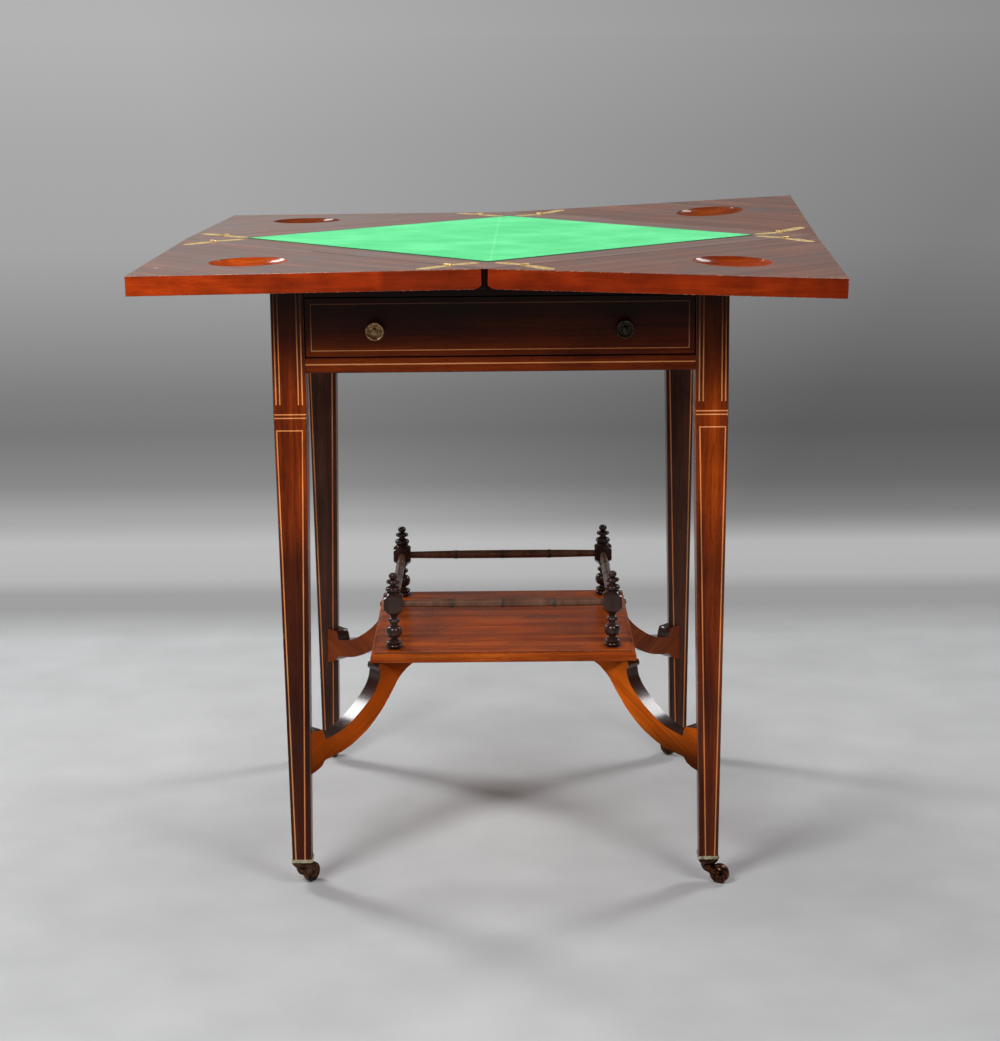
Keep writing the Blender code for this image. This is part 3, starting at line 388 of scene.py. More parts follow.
# Painted shade under the overhanging leaves, darkest at the top of the frieze.
FRIEZE_PAINTED_SHADE = ((0.62, 0.10), (0.635, 0.20), (0.655, 0.55), (0.675, 0.80), (0.69, 0.93), (0.70, 0.95))
RAIL_WOOD = polished_wood("stained_mahogany_along_front", *STAIN, GRAIN_X, darkening_and_shade=FRIEZE_PAINTED_SHADE)
SIDE_RAIL_WOOD = polished_wood("stained_mahogany_along_side", *STAIN, GRAIN_Y, darkening_and_shade=FRIEZE_PAINTED_SHADE)
# Near-black wood as painted shade in the gaps along the leaves' hinges and round the board's sides; it also
# darkens the eased arrises of the rails and the drawer front.
GAP_SHADE_EDGE = polished_wood("mahogany_edge_in_painted_gap_shade", "0E0503", "1C0A05", "2C1008", GRAIN_X)
print("stained woods made:", len(bpy.data.materials))

# %% [markdown]
# ## Bright mahogany
# The shelf, the lipping, the wells and the front brackets were left bright. The shelf has painted shade round
# the feet of the posts, the front brackets have painted shade at both ends, where they meet the shelf and the
# legs, and each well's tones carry painted light and shade, brightest at the front left and darkest at the
# back.

# %% Bright mahogany
SHELF_TOP = 0.2620
POST_SPOT = 0.1330
SHELF_CRACK_AND_POST_SHADE = [((0.0093, -0.1615, 0.2600), (0.0091, -0.1615, 0.2520), 0.5, "1A0804", 0.9)]
# A dark ring round the foot of each post is painted shade.
for x in (-POST_SPOT, POST_SPOT):
    for y in (-POST_SPOT, POST_SPOT):
        SHELF_CRACK_AND_POST_SHADE.append(((x, y, SHELF_TOP), (x, y, SHELF_TOP + MM), 11.0, "2A1008", 0.7))
SHELF_WOOD = polished_wood(
    "mahogany_shelf", "6E260A", "A84A12", "CC6620", GRAIN_X, shine=0.08, coat=0.02, marks=SHELF_CRACK_AND_POST_SHADE
)

LEAF_STAIN = (((-0.118, -0.384, 0.738), (-0.012, -0.388, 0.738), 9.0, "4A1404", 0.5),)
LIPPING_CLOUDS = {"mottle_mm": (40, 26), "cloud": (0.60, 1.22)}
LIPPING_X = {
    -1: polished_wood(
        "mahogany_left_lipping_along_x", "822606", "A43205", "BC4008", GRAIN_X, marks=LEAF_STAIN,
        **LIPPING_CLOUDS,
    ),
    1: polished_wood(
        "mahogany_right_lipping_along_x", "6E1E04", "8A2804", "A03406", GRAIN_X, **LIPPING_CLOUDS
    ),
}
LIPPING_Y = polished_wood("mahogany_lipping_along_y", "7A2204", "9A2E04", "B03A06", GRAIN_Y, **LIPPING_CLOUDS)

# Painted light and shade: the front left well is toned brightest and the two back wells darkest.
LIT_AND_SHADED_WELL_TONES = {
    "front_left": ("842A03", "AC3F05", "C85409"),
    "front_right": ("6A2002", "8A3004", "A24008"),
    "back_right": ("5A1E05", "762E0A", "8E400E"),
    "back_left": ("5A1E05", "762E0A", "8E400E"),
}
WELL_WOOD = {
    corner: polished_wood(f"mahogany_well_{corner}", *tones, GRAIN_X, coat=0.5, coat_rough=0.06)
    for corner, tones in LIT_AND_SHADED_WELL_TONES.items()
}

# Painted shade at both ends of the front brackets: under the shelf at the top, and by the leg at the foot.
BRACKET_PAINTED_SHADE = {
    "left": ((0.138, 0.60), (0.155, 0.30), (0.175, 0.05), (0.205, 0.0), (0.232, 0.15), (0.250, 0.60)),
    "right": (
        (0.138, 0.92), (0.152, 0.84), (0.168, 0.50), (0.182, 0.04), (0.205, 0.0), (0.232, 0.10),
        (0.250, 0.60),
    ),
}
BRACKET_FILM = {"shine": 0.03, "coat": 0.0, "pore": 0.2}
ONE_WAY, OTHER_WAY = radians(0, -30, 45), radians(0, -30, 135)
FRONT_BRACKET = {
    -1: polished_wood(
        "mahogany_bracket_one_way", "943E06", "BC500C", "D06014", ONE_WAY,
        darkening_and_shade=BRACKET_PAINTED_SHADE["left"], **BRACKET_FILM,
    ),
    1: polished_wood(
        "mahogany_bracket_other_way", "B8520C", "E86A14", "F6801E", OTHER_WAY,
        darkening_and_shade=BRACKET_PAINTED_SHADE["right"], **BRACKET_FILM,
    ),
}
REAR_TONES = ("5E2408", "84380E", "984A16")
REAR_BRACKET = {
    -1: polished_wood("mahogany_rear_bracket_one_way", *REAR_TONES, OTHER_WAY, shine=0.08, coat=0.03),
    1: polished_wood("mahogany_rear_bracket_other_way", *REAR_TONES, ONE_WAY, shine=0.08, coat=0.03),
}
BRACKET_RIM = polished_wood(
    "mahogany_bracket_rim", "1E0C06", "341608", "4A220C", GRAIN_X, rough=(0.2, 0.3), coat=1.0, coat_rough=0.14
)
print("woods made:", len(bpy.data.materials))

# %% [markdown]
# ## The playing faces
# The leaves' upper faces have been handled, wiped and rubbed for a century, so they are browner and hazier
# than their edges, with fine scratches and a bloom in the polish. Two pale strokes along seams are painted
# highlights. The board is turned a little on its pivot, so the grain of each leaf is laid along its own
# hinge.
# A stroke is two points, its half width in millimetres, its colour and its strength.

# %% Playing faces
TOP_TURN = -2.35
FACE_TONES = ("542612", "784024", "965A38")
FACE_LEVEL = 0.7493
FACE_SCRATCHES_AND_SEAM_GLINTS = (
    # Painted highlight along the seam of the front left leaf.
    ((-0.3690, -0.0074), (-0.2180, -0.1716), 1.0, "E4DAD2", 0.65),
    ((-0.3813, -0.2997), (-0.3790, -0.2999), 1.8, "E8E0DA", 0.8),
    ((0.3290, -0.0420), (0.3650, -0.0460), 1.2, "C8B4A4", 0.5),
    # Painted highlight along the seam of the back right leaf.
    ((0.0680, 0.3345), (0.1460, 0.2498), 0.9, "D0C4BC", 0.45),
    ((-0.300, -0.335), (-0.190, -0.350), 0.5, "B8A494", 0.3),
    ((0.170, -0.330), (0.300, -0.300), 0.5, "B8A494", 0.3),
)
FACE_MARKS_AND_SEAM_GLINTS = [((*start, FACE_LEVEL), (*end, FACE_LEVEL), *look) for start, end, *look in FACE_SCRATCHES_AND_SEAM_GLINTS]


def playing_face(name, turn_degrees):
    """The worn veneer of the upper faces, with its grain turned so far."""
    return polished_wood(
        name, *FACE_TONES, radians(0, 0, turn_degrees),
        rough=(0.26, 0.40), coat=0.7, coat_rough=0.18, pore=0.35, shine=0.4, marks=FACE_MARKS_AND_SEAM_GLINTS,
    )


FACE_RISING = playing_face("worn_mahogany_face_one_way", 45 + TOP_TURN)
FACE_FALLING = playing_face("worn_mahogany_face_other_way", 135 + TOP_TURN)
SHOW_FACE = polished_wood("mahogany_show_face", "4A1A09", "78300F", "9A4818", radians(0, 0, TOP_TURN))
print("playing faces follow the hinges, at", 45 + TOP_TURN, "and", 135 + TOP_TURN, "degrees")

# %% [markdown]
# ## Worn arrises
# Where two faces meet, the polish is knocked off first: the arris goes pale where it is bare and dark where
# dirt has been rubbed in. The narrow faces of each rounded edge get this finish of their own.


# %% Worn arris
def worn_arris(name, bare, dirty, under, chipped):
    """Patches of dirt and of the wood under the polish, with bare chips where fine noise is high."""
    material, tree = new_material(name)
    place = object_place(tree)
    patch = noise(tree, place, 60.0, 3.0)
    chips = noise(tree, place, 420.0, 2.0)
    tone = ramp(tree, patch, [(0.40, dirty), (0.52, under), (0.66, under)])
    worn = blend(tree, band_of(tree, chips, *chipped), tone, colour(bare))
    gloss = band_of(tree, chips, 0.4, 0.7, 0.25, 0.5)
    surface(
        tree, {"IOR": 1.5, "Coat Weight": 0.5, "Coat Roughness": 0.2, "Base Color": worn, "Roughness": gloss}
    )
    return material


LEAF_ARRIS = worn_arris("worn_leaf_arris", "D08A5A", "2A0E06", "6E2408", (0.54, 0.62))
LEG_ARRIS = worn_arris("worn_leg_arris", "A86038", "1C0A06", "4A1A08", (0.63, 0.69))
print("arris finishes made for the leaves and the legs")

# %% [markdown]
# ## Boxwood, ebonised wood and bare pine
# The inlaid lines are boxwood, a pale wood that old polish has turned orange. The gallery is turned in a
# plain hardwood and stained black to look like ebony. Its posts keep their gloss, and its rails have been
# rubbed brown. Inside, where nobody looks, the drawer and the panel under the board are pine, with no
# polish at all.

# %% Other woods
# Painted shade under the overhanging leaves at the top, and darker towards the feet.
STRING_SHADE_AND_DARKENING = (
    (0.05, 0.25), (0.20, 0.30), (0.40, 0.28), (0.48, 0.0), (0.60, 0.0), (0.64, 0.06), (0.665, 0.35),
    (0.68, 0.74), (0.71, 0.88),
)


def boxwood(name, turn):
    """The string's wood, which runs up the legs and along the frieze."""
    return polished_wood(
        name, "E08448", "FFA260", "FFBC7C", turn, rough=(0.3, 0.4), pore=0.1, darkening_and_shade=STRING_SHADE_AND_DARKENING
    )


BOXWOOD = boxwood("boxwood_string", GRAIN_Z)
BOXWOOD_X = boxwood("boxwood_string_along", GRAIN_X)
EBONISED = polished_wood(
    "ebonised_wood", "1C0E0A", "301C16", "462E26", GRAIN_Z,
    rough=(0.20, 0.30), coat=0.6, coat_rough=0.10, pore=0.2, shine=0.12,
)
EBONISED_ROD = polished_wood(
    "ebonised_rod", "42281E", "66422F", "7A5440", GRAIN_Z,
    rough=(0.30, 0.42), coat=0.4, coat_rough=0.2, pore=0.2, shine=0.25,
)
RUBBED_BEAD = polished_wood("rubbed_bead_wood", "3A2E2A", "4E403A", "5E4E46", GRAIN_Z, pore=0.1)
PINE = polished_wood("bare_pine", "8A6234", "B08A56", "C8A470", GRAIN_Y, rough=(0.6, 0.8), coat=0.0, pore=0.2)
print("boxwood, ebonised wood and pine made")

# %% [markdown]
# ## Brass and iron
# The hinges are polished brass gone a little dull, the knobs and castors are brass browned by age, and the
# pivot is blackened iron. Each is a metal shader whose colour and roughness vary with handling and with the
# brown film of tarnish, which is a cloud of noise a few millimetres across.


# %% Metals
def aged_metal(name, clean, tarnished, rough, cloud_mm, metallic=1.0):
    """Metal between a clean and a tarnished colour, in clouds so many millimetres across."""
    material, tree = new_material(name)
    place = object_place(tree)
    film = noise(tree, place, 1 / (cloud_mm * MM), 4.0)
    rub = noise(tree, place, 900.0, 2.0)
    tone = blend(tree, band_of(tree, film, 0.38, 0.62), colour(clean), colour(tarnished))
    gloss = band_of(tree, film, 0.35, 0.65, *rough)
    hills = relief(tree, rub, 0.08, 0.0002)
    surface(tree, {"Metallic": metallic, "Base Color": tone, "Roughness": gloss, "Normal": hills})
    return material


HINGE_BRASS = aged_metal("hinge_brass", "F4DCA0", "CCA868", (0.48, 0.62), 6.0, metallic=0.6)
KNOB_BRASS = {
    "left": aged_metal("browned_brass", "C09A70", "74563C", (0.22, 0.42), 3.0),
    "right": aged_metal("blackened_brass", "4C443A", "2C2620", (0.35, 0.55), 3.0),
}
CASTOR_BRASS = aged_metal("castor_brass", "66402A", "221814", (0.28, 0.48), 5.0)
# Paler brass on the cup's lip is a painted highlight along its rim.
CUP_LIP_HIGHLIGHT_BRASS = aged_metal("cup_lip_brass_painted_highlight", "D8CCAC", "9A8C6C", (0.30, 0.45), 5.0, metallic=0.7)
IRON = aged_metal("blackened_iron", "3C3A38", "2A2624", (0.45, 0.65), 5.0)
print("metals made")

# %% [markdown]
# ## Baize
# Baize is a woollen cloth whose nap hides the weave. Light catches the ends of the fibres, which the
# shader's sheen gives, and the cloth shows faint clouds, a pale fold line, specks of fluff and a painted dark
# line of shade where it meets the border.

# %% Baize finish
BAIZE_HALF = 0.2200
BAIZE_SHADE_FROM, BAIZE_SHADE_TO = 0.2182, 0.2192
FOLD_LINE = ((0.0008, 0.30, 0.750), (-0.0100, -0.30, 0.750))

BAIZE, tree = new_material("green_wool_baize")
place = object_place(tree)
nap = noise(tree, place, 700.0, 2.0)
green = ramp(tree, noise(tree, place, 14.0, 3.0), [(0.35, "56D286"), (0.50, "60DC90"), (0.65, "6CE69A")])
green = blend(tree, band_of(tree, nap, 0.35, 0.65, 0.0, 0.25), green, colour("3CB468"))
fluff = band_of(tree, noise(tree, place, 260.0, 1.0), 0.74, 0.78, 0.0, 0.6)
green = blend(tree, fluff, green, colour("C8F8D8"))
fold = maths(tree, "MULTIPLY", stroke(tree, place, *FOLD_LINE, 1.3), 0.12)
green = blend(tree, fold, green, colour("B8FFD4"))
to_the_cloth = {"vector_type": "TEXTURE", "Rotation": radians(0, 0, 45 + TOP_TURN), 0: place}
square = add(tree, "Mapping", to_the_cloth).outputs[0]
sides = axes_of(tree, vector_maths(tree, "ABSOLUTE", square))
from_middle = maths(tree, "MAXIMUM", sides[0], sides[1])
# A dark green band along the cloth's edge is painted shade, standing for its unlit cut edge.
rim = band_of(tree, from_middle, BAIZE_SHADE_FROM, BAIZE_SHADE_TO, 0.0, 0.85)
green = blend(tree, rim, green, colour("145A34"))
surface(tree, {
    "Roughness": 0.95, "Sheen Weight": 0.06, "Sheen Roughness": 0.5, "Specular IOR Level": 0.1,
    "Base Color": green, "Normal": relief(tree, nap, 0.35, 0.0004),
})
print("baize made")

# %% [markdown]
# ## Helpers that finish a piece
# A piece is modelled in a bmesh and ends as an object at the origin with its place in its mesh. It rides on
# the body that carries it, takes its materials, and may stand for a imported node, which is then hidden.

# %% Finishing helpers
BROAD_FACE = 0.00015
MUCH_LARGER = 5


def as_mesh(name, bm):
    """A bmesh as mesh data. The bmesh itself is used up."""
    mesh = bpy.data.meshes.new(name)
    bm.to_mesh(mesh)
    bm.free()
    return mesh


def crisp(edge, smooth):
    """Whether an edge is shaded sharp: a real corner, or the rim of a broad face, which must stay flat."""
    if len(edge.link_faces) != 2:
        return True
    angle = edge.calc_face_angle(0)
    small, large = sorted(face.calc_area() for face in edge.link_faces)
    beside_broad_face = large > BROAD_FACE and large > MUCH_LARGER * small
    return angle > radians(smooth) or (angle > radians(1) and beside_broad_face)


def finish(name, bm, materials, body, stands_for=(), smooth=35):
    """The bmesh as an object that rides on a body, shaded smooth up to so many degrees."""
    for face in bm.faces:
        face.smooth = True
    for edge in bm.edges:
        edge.smooth = not crisp(edge, smooth)
    mesh = as_mesh(name, bm)
    for material in materials:
        mesh.materials.append(material)
    obj = put(name, mesh)
    if stands_for:
        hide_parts(*stands_for)
    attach(obj, body)
    return obj


print("finishing helpers are ready")

# %% [markdown]
# ## The floor and the backdrop
# The table stands on pale grey paper in a grey studio. The paper is a square with a soft edge, and past it
# the floor shows the backdrop's grey, which the camera and the polish see but which lights nothing. That grey
# glows with painted light: a bright strip just past the paper, a darker band beyond, and a fall from left to
# right.

# %% Floor and backdrop
FLOOR_HALF = 220
PAPER_FROM, PAPER_TO = 0.90, 1.12
STRIP_END_FROM, STRIP_END_TO = 0.445, 0.49
BACKDROP_TONES = (
    (0.355, "AAAAAA"), (0.380, "ACACAC"), (0.402, "C4C4C4"), (0.430, "C8C8C8"), (0.450, "C8C8C8"),
    (0.480, "A8A8A8"), (0.530, "868686"), (0.595, "767676"), (0.64, "7C7C7C"), (0.80, "A2A2A2"),
    (0.90, "A6A6A6"), (1.0, "B0B0B0"),
)


def looked_at(tree):
    """One where the camera or a reflection looks, and zero where light is gathered."""
    rays = add(tree, "LightPath").outputs
    either = maths(tree, "MAXIMUM", rays["Is Camera Ray"], rays["Is Glossy Ray"])
    return maths(tree, "MAXIMUM", either, rays["Is Transmission Ray"])


def across_studio(tree, sideways, left=1.04, right=0.58):
    """A strength that falls from the left of the studio to the right: painted light on the backdrop and the
    wall.
    """
    return band_of(tree, sideways, -0.15, 0.25, left, right)


floor_mesh = bmesh.new()
bmesh.ops.create_grid(floor_mesh, x_segments=1, y_segments=1, size=FLOOR_HALF)
floor = put("floor", as_mesh("floor", floor_mesh))
floor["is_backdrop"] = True

PAPER, tree = new_material("studio_paper")
place = object_place(tree)
spread = axes_of(tree, vector_maths(tree, "ABSOLUTE", place))
reach = maths(tree, "MAXIMUM", spread[0], spread[1])
share = maths(tree, "DIVIDE", reach, maths(tree, "ADD", reach, 2.0))
backdrop = ramp(tree, share, BACKDROP_TONES)
paper = ramp(tree, noise(tree, place, 9.0, 5.0), [(0.3, "C4C5C6"), (0.7, "CDCECF")])
near = add(tree, "BsdfPrincipled", {"Roughness": 0.9, "IOR": 1.3, "Base Color": paper})
sideways = maths(tree, "DIVIDE", axes_of(tree, place)[0], vector_maths(tree, "LENGTH", place))
past_strip = band_of(tree, share, STRIP_END_FROM, STRIP_END_TO)
even, uneven = across_studio(tree, sideways, 0.86, 0.80), across_studio(tree, sideways)
strength = add(tree, "Mix", {"data_type": "FLOAT", 0: past_strip, 2: even, 3: uneven}).outputs[0]
far = add(tree, "Emission", {"Color": backdrop, "Strength": strength})
show = maths(tree, "MULTIPLY", looked_at(tree), band_of(tree, reach, PAPER_FROM, PAPER_TO))
mixed = add(tree, "MixShader", {0: show, 1: near.outputs[0], 2: far.outputs[0]})
add(tree, "OutputMaterial", {0: mixed.outputs[0]})
floor.data.materials.append(PAPER)
print("floor and backdrop are in place")

# %% [markdown]
# ## The studio around
# A reflection that goes past the floor sees the studio's wall: grey, with painted light that is darker higher
# up and brighter on the left. The air itself gives only a trace of light.

# %% World
AMBIENT = 0.03
world = bpy.data.worlds.new("studio")
scene.world = world
world.use_nodes = True
sky = world.node_tree
sky.nodes.clear()
ambient = add(sky, "Background", {"Color": (1, 1, 1, 1), "Strength": AMBIENT})
aim = axes_of(sky, add(sky, "TexCoord").outputs["Generated"])
dimmed = ramp(sky, aim[2], [(0.0, "B0B0B0"), (0.20, "A0A0A0"), (0.27, "606060"), (0.50, "505050")])
grey = add(sky, "Background", {"Color": dimmed, "Strength": across_studio(sky, aim[0])})
mixed = add(sky, "MixShader", {0: looked_at(sky), 1: ambient.outputs[0], 2: grey.outputs[0]})
add(sky, "OutputWorld", {0: mixed.outputs[0]})
print("the studio is grey")

# %% [markdown]
# ## The light
# Two soft boxes stand to the left and right, a little behind the table and above it: their reflections are
# the white patches on the brackets. Two more hang in front and above, and light the edges of the leaves and
# the upper half of the legs; they are the pairs of bright points on the balls and beads of the gallery. The
# fifth, above and behind, lights the baize and leaves the soft grey pool under the table.


# %% Soft boxes
def soft_box(name, spot, aim, width, height, power):
    """A rectangle of light, in metres and watts, that looks at a point and is never seen itself."""
    data = bpy.data.lights.new(name, "AREA")
    data.shape = "RECTANGLE"
    data.size = width
    data.size_y = height
    data.energy = power
    lamp = put(name, data)
    lamp.location = spot
    lamp.rotation_mode = "QUATERNION"
    lamp.rotation_quaternion = (Vector(aim) - Vector(spot)).to_track_quat("-Z", "Y")
    lamp.visible_camera = False
    return lamp


soft_box("left_soft_box", (-1.68, 1.09, 1.96), (0, 0, 0.4), 0.5, 1.5, 32)
soft_box("right_soft_box", (1.68, 1.09, 1.96), (0, 0, 0.4), 0.5, 1.5, 22)
overhead_box = soft_box("overhead_soft_box", (-0.15, 0.6, 2.3), (0, 0, 0.75), 1.1, 1.1, 10.5)
overhead_box.visible_glossy = False
soft_box("front_left_soft_box", (-0.9, -1.5, 1.75), (0, -0.2, 0.5), 0.6, 0.8, 24)
soft_box("front_right_soft_box", (0.9, -1.5, 1.75), (0, -0.2, 0.5), 0.6, 0.8, 13)
scene.view_settings.view_transform = "Standard"
print("five soft boxes are in place")

# %% [markdown]
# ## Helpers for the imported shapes
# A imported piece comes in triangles, which are joined to flat faces first. A sharp machine edge never looks
# like wood, so the long edges of each flat piece are rounded by half a millimetre or so.

# %% Edge helpers
MERGE = 0.00001
FLAT_ANGLE = 0.5


def from_cad(node):
    """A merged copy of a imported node, with the triangles of each flat face joined."""
    bm = bmesh.new()
    bm.from_mesh(nodes[node].data)
    bmesh.ops.remove_doubles(bm, verts=bm.verts, dist=MERGE)
    bmesh.ops.dissolve_limit(bm, angle_limit=radians(FLAT_ANGLE), verts=bm.verts, edges=bm.edges)
    for face in bm.faces:
        face.material_index = 0
    return bm


def rounded(bm, edges, width, segments, clamp_overlap=False):
    """The new faces along edges that are cut off and rounded."""
    made = bmesh.ops.bevel(
        bm, geom=edges, offset=width, offset_type="OFFSET", affect="EDGES", segments=segments,
        profile=0.5, material=-1, clamp_overlap=clamp_overlap,
    )
    return made["faces"]


def soften(bm, width, shortest, arris=0, segments=2, sharp=30):
    """Round the long sharp edges, and give the narrow new faces the arris finish."""
    edges = [
        edge
        for edge in bm.edges
        if edge.is_manifold and edge.calc_length() > shortest and edge.calc_face_angle(0) > radians(sharp)
    ]
    for face in rounded(bm, edges, width, segments, clamp_overlap=True):
        face.material_index = arris
    return bm


print("edge helpers are ready")

# %% [markdown]
# ## Legs
# Each leg is square down to the frieze, then tapers to its castor, more on its inner faces than on the
# outer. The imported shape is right, so a merged copy only has its arrises eased.

# %% Legs
FRAME = "frame"
ROUNDING = 0.0007
for corner, (across, along) in CORNERS.items():
    leg = soften(from_cad(f"leg_{corner}"), ROUNDING, shortest=0.01, arris=1)
    woods = [SHADED_REAR_LEG_WOOD if along > 0 else LEG_WOOD[across], LEG_ARRIS]
    finish(f"tapered_leg_{corner}", leg, woods, FRAME, [f"leg_{corner}"])
print("four legs")

# %% [markdown]
# ## Stringing
# Boxwood lines a millimetre or so wide are let into grooves in the legs and the frieze. On the real table
# they are flush. Here each is a strip sunk in the wood whose face stands a few hundredths of a millimetre
# proud, which keeps it crisp at any size of picture.

# %% Strips of inlay
STRING = 0.0014
FINE_STRING = 0.0010
RAIL_STRING = 0.00154
STRING_PROUD = 0.00004
CROSSING_PROUD = STRING_PROUD * 1.5
STRING_DEPTH = 0.0006


def spin(degrees, axis="Z"):
    """A turn about an axis through the origin."""
    return Matrix.Rotation(radians(degrees), 4, axis)


def merged(shapes):
    """Several bmeshes as one, each left as a body of its own."""
    together = bmesh.new()
    for shape in shapes:
        mesh = as_mesh("part_of_set", shape)
        together.from_mesh(mesh)
        bpy.data.meshes.remove(mesh)
    return together


def strip(start, end, outward, width=STRING, proud=STRING_PROUD):
    """A strip of inlay from start to end, its middle line on the surface that faces outward."""
    start, end = Vector(start), Vector(end)
    along = (end - start).normalized()
    across = along.cross(Vector(outward)).normalized()
    out = across.cross(along)
    size = Matrix.Diagonal(((end - start).length + width, width, STRING_DEPTH, 1))
    middle = (start + end) / 2 + out * (proud - STRING_DEPTH / 2)
    bm = bmesh.new()
    turn = Matrix((along, across, out)).transposed().to_4x4()
    bmesh.ops.create_cube(bm, size=1, matrix=Matrix.Translation(middle) @ turn @ size)
    return bm


print("a string is", round(STRING / MM, 2), "mm wide")

# %% [markdown]
# ## The strings on the legs
# The same lines go on every face of a leg: a pair along each side above, two bands round it, and a long
# panel below. They are drawn on the leg at the back right, from how far its faces stand out at each height,
# and turned to the other three.

# %% Leg strings
HALF_FRAME = 0.2594
LEG_INNER = 0.2216
TAPER_TOP = 0.57
TAPER_END = 0.0312
OUTER_RUN = 0.0061
INNER_RUN = 0.0090
UPPER_TOP, UPPER_END = 0.7215, 0.584
UNDER_RAIL = 0.6190
BANDS = (0.5722, 0.5680)
PANEL_TOP, PANEL_LOW = 0.5535, 0.0560
PANEL_END = TAPER_END + 0.001
PAIR_INSETS = {"outer": (0.0035, 0.0078), "inner": (0.0043, 0.0088)}
PANEL_INSETS = {"outer": (0.0030, 0.0042), "inner": (0.0050, 0.0077)}


def leg_edges(height):
    """How far the leg's outer and inner faces stand from the middle of the table at a height."""
    share = min(max((TAPER_TOP - height) / (TAPER_TOP - TAPER_END), 0), 1)
    return HALF_FRAME - OUTER_RUN * share, LEG_INNER + INNER_RUN * share


def on_leg(face, edge, inset, height):
    """A point on one face of the leg at (+X, +Y), so far in from its outer or inner edge."""
    outer, inner = leg_edges(height)
    depth = outer if face == "outer" else inner
    return (depth, outer - inset if edge == "outer" else inner + inset, height)


def leg_strings():
    """All the strings of the leg at (+X, +Y): those of two faces, and the same mirrored over the diagonal."""
    strips = []
    for face, outward, top in (("outer", (1, 0, 0), UPPER_TOP), ("inner", (-1, 0, 0), UNDER_RAIL)):
        for edge, insets in PAIR_INSETS.items():
            for inset in insets:
                ends = on_leg(face, edge, inset, top), on_leg(face, edge, inset, UPPER_END)
                strips.append(strip(*ends, outward))
        for height in BANDS:
            ends = on_leg(face, "outer", STRING, height), on_leg(face, "inner", STRING, height)
            strips.append(strip(*ends, outward, proud=CROSSING_PROUD))
        for edge, (inset_top, inset_low) in PANEL_INSETS.items():
            upper = Vector(on_leg(face, edge, inset_top, PANEL_TOP))
            lower = Vector(on_leg(face, edge, inset_low, PANEL_LOW))
            foot = lower + (lower - upper).normalized() * (PANEL_LOW - PANEL_END)
            strips.append(strip(upper, foot, outward))
        ends = [on_leg(face, edge, insets[0], PANEL_TOP) for edge, insets in PANEL_INSETS.items()]
        strips.append(strip(*ends, outward, proud=CROSSING_PROUD))
    half = merged(strips)
    other = half.copy()
    swap_x_and_y = Matrix(((0, 1, 0, 0), (1, 0, 0, 0), (0, 0, 1, 0), (0, 0, 0, 1)))
    other.transform(swap_x_and_y)
    bmesh.ops.reverse_faces(other, faces=other.faces)
    return merged([half, other])


for turn, corner in zip((0, 90, 180, 270), ("back_right", "back_left", "front_left", "front_right")):
    strings = leg_strings()
    strings.transform(spin(turn))
    finish(f"leg_strings_{corner}", strings, [BOXWOOD], FRAME)
print("strings on four legs")

# %% [markdown]
# ## Frieze and drawer front
# The rails and the drawer front are straight boards with eased arrises. A rectangle of fine string runs
# round the drawer front, and a bolder one along the rail below it. The sides and back cannot be seen in the
# photograph, and get the same lines, as such tables have them.

# %% Frieze
RAIL_ROUNDING = 0.0006
LONG_EDGE = 0.05
for node in ("front_rail_upper", "front_rail_lower", "back_rail", "side_rail_left", "side_rail_right"):
    rail = soften(from_cad(node), RAIL_ROUNDING, LONG_EDGE, arris=1)
    woods = [SIDE_RAIL_WOOD if "side" in node else RAIL_WOOD, GAP_SHADE_EDGE]
    finish(f"polished_{node}", rail, woods, FRAME, [node])

DRAWER = "drawer"
front = soften(from_cad("drawer_front"), ROUNDING, LONG_EDGE, arris=1)
finish("polished_drawer_front", front, [RAIL_WOOD, GAP_SHADE_EDGE], DRAWER, ["drawer_front"])

PANEL_X = 0.2140
PANEL_LOW_Z, PANEL_HIGH_Z = 0.6450, 0.6980
RAIL_STRING_Z = 0.6293
RAIL_STRING_END = 0.2205
FORWARD = (0, -1, 0)


def frieze_panel():
    """The rectangle of string on the front, in the plane of the drawer's face."""
    low, high = PANEL_LOW_Z, PANEL_HIGH_Z
    corners = [(-PANEL_X, low), (PANEL_X, low), (PANEL_X, high), (-PANEL_X, high)]
    strips = []
    for i, (start, end) in enumerate(zip(corners, corners[1:] + corners[:1])):
        ends = [(x, -HALF_FRAME, z) for x, z in (start, end)]
        strips.append(strip(*ends, FORWARD, FINE_STRING, CROSSING_PROUD if i % 2 else STRING_PROUD))
    return merged(strips)


def rail_string():
    """The bolder string on the rail below the drawer."""
    ends = [(x, -HALF_FRAME, RAIL_STRING_Z) for x in (-RAIL_STRING_END, RAIL_STRING_END)]
    return strip(*ends, FORWARD, RAIL_STRING)


finish("drawer_strings", frieze_panel(), [BOXWOOD_X], DRAWER)
finish("front_rail_string", rail_string(), [BOXWOOD_X], FRAME)
for side, turn in (("right", 90), ("back", 180), ("left", 270)):
    strings = merged([frieze_panel(), rail_string()])
    strings.transform(spin(turn))
    finish(f"frieze_strings_{side}", strings, [BOXWOOD_X], FRAME)
print("frieze, drawer front and their strings")

# %% [markdown]
# ## Drawer knobs
# The two knobs are small brass turnings with a stamped face: a rim, a ring of beads and a domed middle. The
# body is spun on a lathe as the real one was, and the beads are small spheres set in the ring's groove.


# %% Lathe
def in_metres(profile_mm):
    """A profile that was written down in millimetres."""
    return [(r * MM, z * MM) for r, z in profile_mm]


